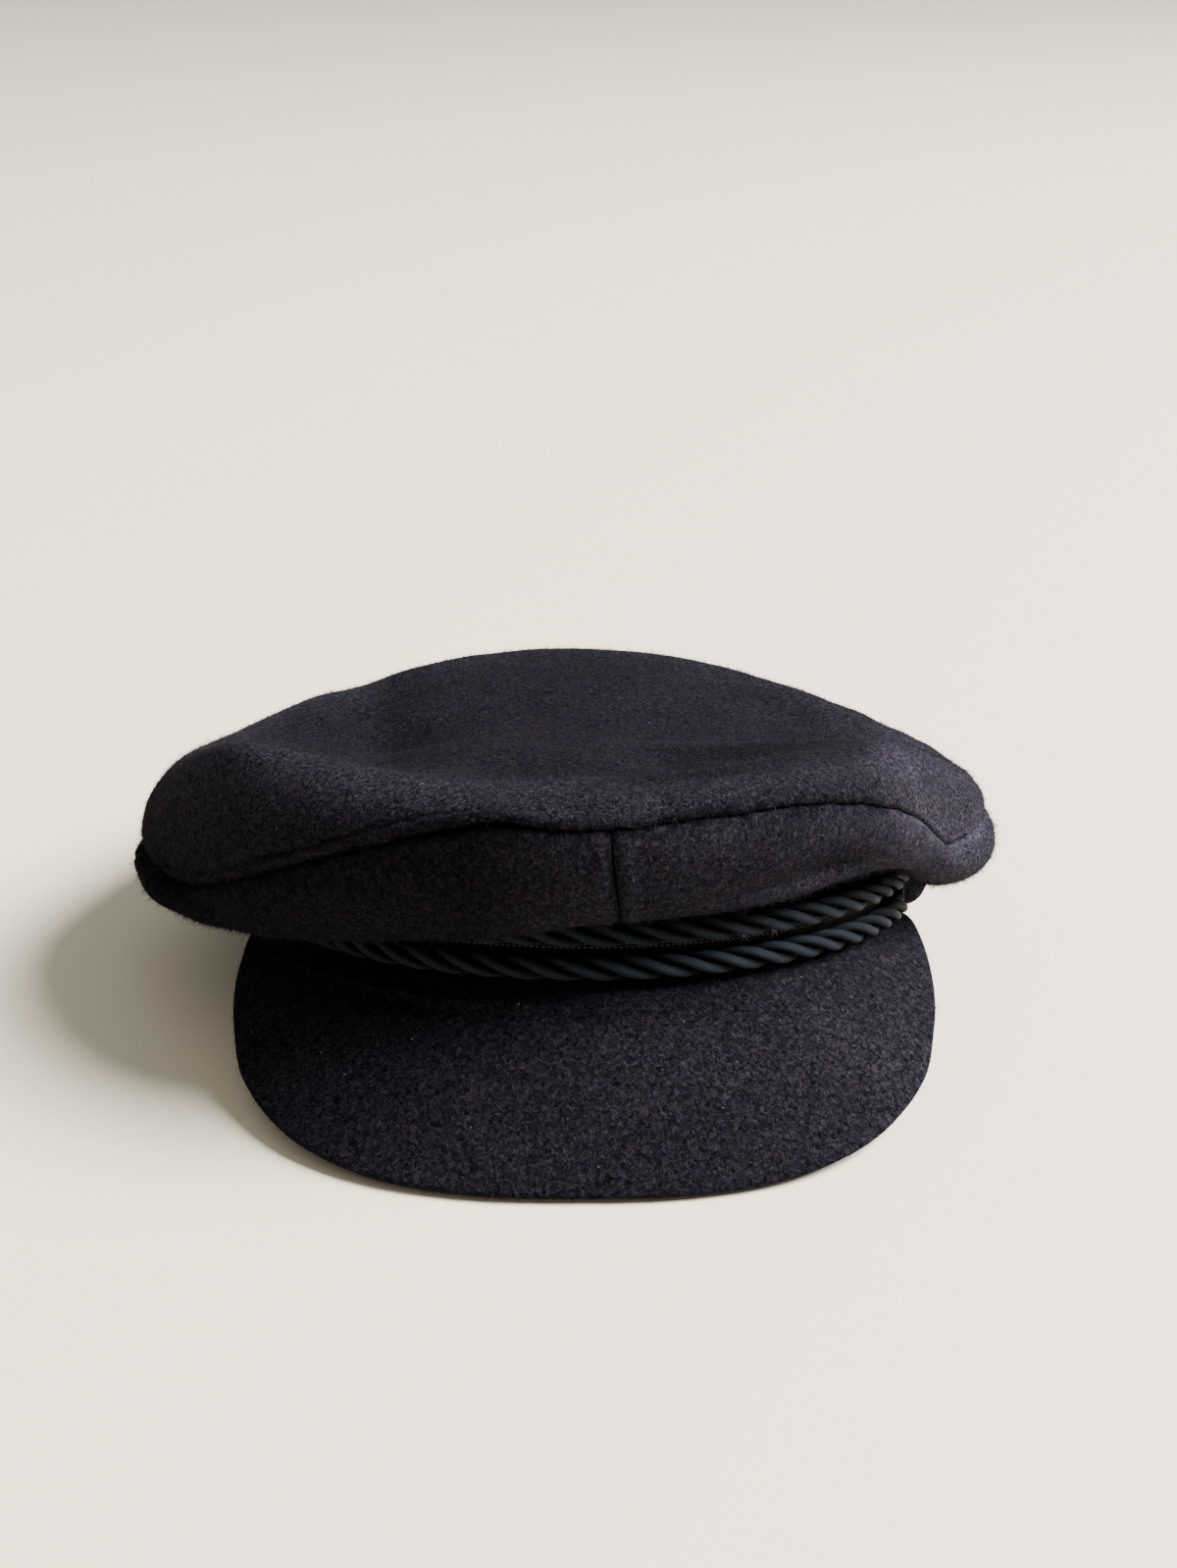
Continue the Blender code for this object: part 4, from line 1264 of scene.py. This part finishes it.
PICTURE = (1200, 1599)
FOCUS = 2404.0
VIEW_DOWN = radians(26.5) - atan(168.5 / FOCUS)
EYE = (0.80490849 * MM, -681.14884619 * MM, 340.50367223 * MM)
WINDOW_UP = radians(44)
WINDOW_BEHIND = radians(-4)
WINDOW_AWAY = 4.6
WINDOW_SIZE = 2.73
WINDOW_POWER = 1470.0
ROOM_LIGHT = 0.60


def build_camera():
    data = bpy.data.cameras.new("camera")
    made = bpy.data.objects.new("camera", data)
    bpy.context.scene.collection.objects.link(made)
    data.sensor_width = 36.0
    data.lens = FOCUS * 36.0 / PICTURE[1]
    data.clip_start = 0.01
    data.clip_end = 60.0
    made.location = Vector(EYE) + Vector(MIDDLE)
    made.rotation_euler = (pi / 2 - VIEW_DOWN, 0.0, 0.0)
    bpy.context.scene.camera = made
    bpy.context.view_layer.update()
    return made


def area_light(name, spot, aim, size, power, colour):
    data = bpy.data.lights.new(name, "AREA")
    data.shape = "DISK"
    data.size = size
    data.energy = power
    data.color = colour
    made = bpy.data.objects.new(name, data)
    made.location = spot
    made.rotation_euler = (Vector(aim) - Vector(spot)).to_track_quat("-Z", "Y").to_euler()
    bpy.context.scene.collection.objects.link(made)


def build_light():
    """A wide soft window on the right and a dim room around it."""
    flat = WINDOW_AWAY * cos(WINDOW_UP)
    spot = (flat * cos(WINDOW_BEHIND), flat * sin(WINDOW_BEHIND), WINDOW_AWAY * sin(WINDOW_UP))
    area_light("window", spot, (0, 0, 0.04), WINDOW_SIZE, WINDOW_POWER, (1.0, 0.975, 0.94))
    world = bpy.data.worlds.new("room")
    bpy.context.scene.world = world
    world.use_nodes = True
    back = world.node_tree.nodes["Background"]
    back.inputs["Color"].default_value = (0.95, 0.90, 0.81, 1.0)
    back.inputs["Strength"].default_value = ROOM_LIGHT


def build_floor():
    half = 14.0
    corners = ((-half, -half, 0), (half, -half, 0), (half, half, 0), (-half, half, 0))
    look = Look("table", (0.675, 0.615, 0.49), 0.55)
    made = make_object("table", corners, [(0, 1, 2, 3)], [look.made])
    made.location.z = -0.0002
    return made


# The whole scene

def dress(piece, slot, *nodes):
    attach(piece, "root")
    if nodes:
        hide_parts(*nodes)
    return piece


HAIR = (0.045, 0.075)


def build_all():
    camera = build_camera()
    build_light()
    # each piece's copy of the wool is darkened by its last number: painted shade, most on the band and
    # the top
    top_wool = wool_look("wool_top", (1, 1, 1), 900.0, 1.05, 0.8, 0.74)
    side_wool = wool_look("wool_side", (1, 1, 0.78), 880.0, 0.85, 0.7, 0.85)
    peak_wool = wool_look("wool_peak", (1, 1, 1), 720.0, 1.0, 0.8, 0.82)
    band_wool = wool_look("wool_band", (1, 1, 1), 850.0, 0.8, 0.5, 0.7)
    nap = nap_look()
    quarters = ("side_front_right", "side_back_right", "side_back_left", "side_front_left")
    lint_on = [dress(build_top(top_wool), "wool", "crown_top")]
    for number, name in enumerate(quarters):
        lint_on.append(dress(build_side(name, number, side_wool), "wool", name))
    dress(build_band(band_wool), "wool", "band")
    lint_on.append(dress(build_peak(peak_wool), "wool", "peak"))
    satin = cord_look()
    dress(build_cord("cord_lower_strands", LOWER_CORD_UP, satin), "cord", "cord_lower")
    dress(build_cord("cord_upper_strands", UPPER_CORD_UP, satin), "cord", "cord_upper")
    tape, stitches = build_tape(tape_look(), thread_look())
    dress(tape, "tape", "cord_tape")
    dress(stitches, "tape")
    gloss = gloss_look()
    dress(build_button("button_left_dome", -BUTTON_ANGLE, side_wool, gloss), "button",
          "button_left")
    dress(build_button("button_right_dome", BUTTON_ANGLE, side_wool, gloss), "button",
          "button_right")
    dress(build_nap("nap_top", *surfaces["top"], 30000, nap, 51), "wool")
    for number, name in enumerate(quarters):
        dress(build_nap("nap_" + name, *surfaces[name], 9500, nap, 52 + number), "wool")
    dress(build_nap("nap_peak", *surfaces["peak"], 20000, nap, 57), "wool")
    for name, count, length, keep in (
            ("top", 12000, (1.2, 2.4), on_the_edge), ("peak", 5000, (0.9, 1.7), on_the_edge)):
        dress(build_nap("hair_" + name, *surfaces[name], count, nap, 61, length, keep,
                        HAIR), "wool")
    for number, name in enumerate(quarters):
        dress(build_nap("hair_" + name, *surfaces[name], 4200, nap, 63 + number, (1.2, 2.8),
                        under_the_fold, HAIR), "wool")
    dress(build_lint(camera, lint_on, lint_look()), "wool")
    build_floor()


build_all()
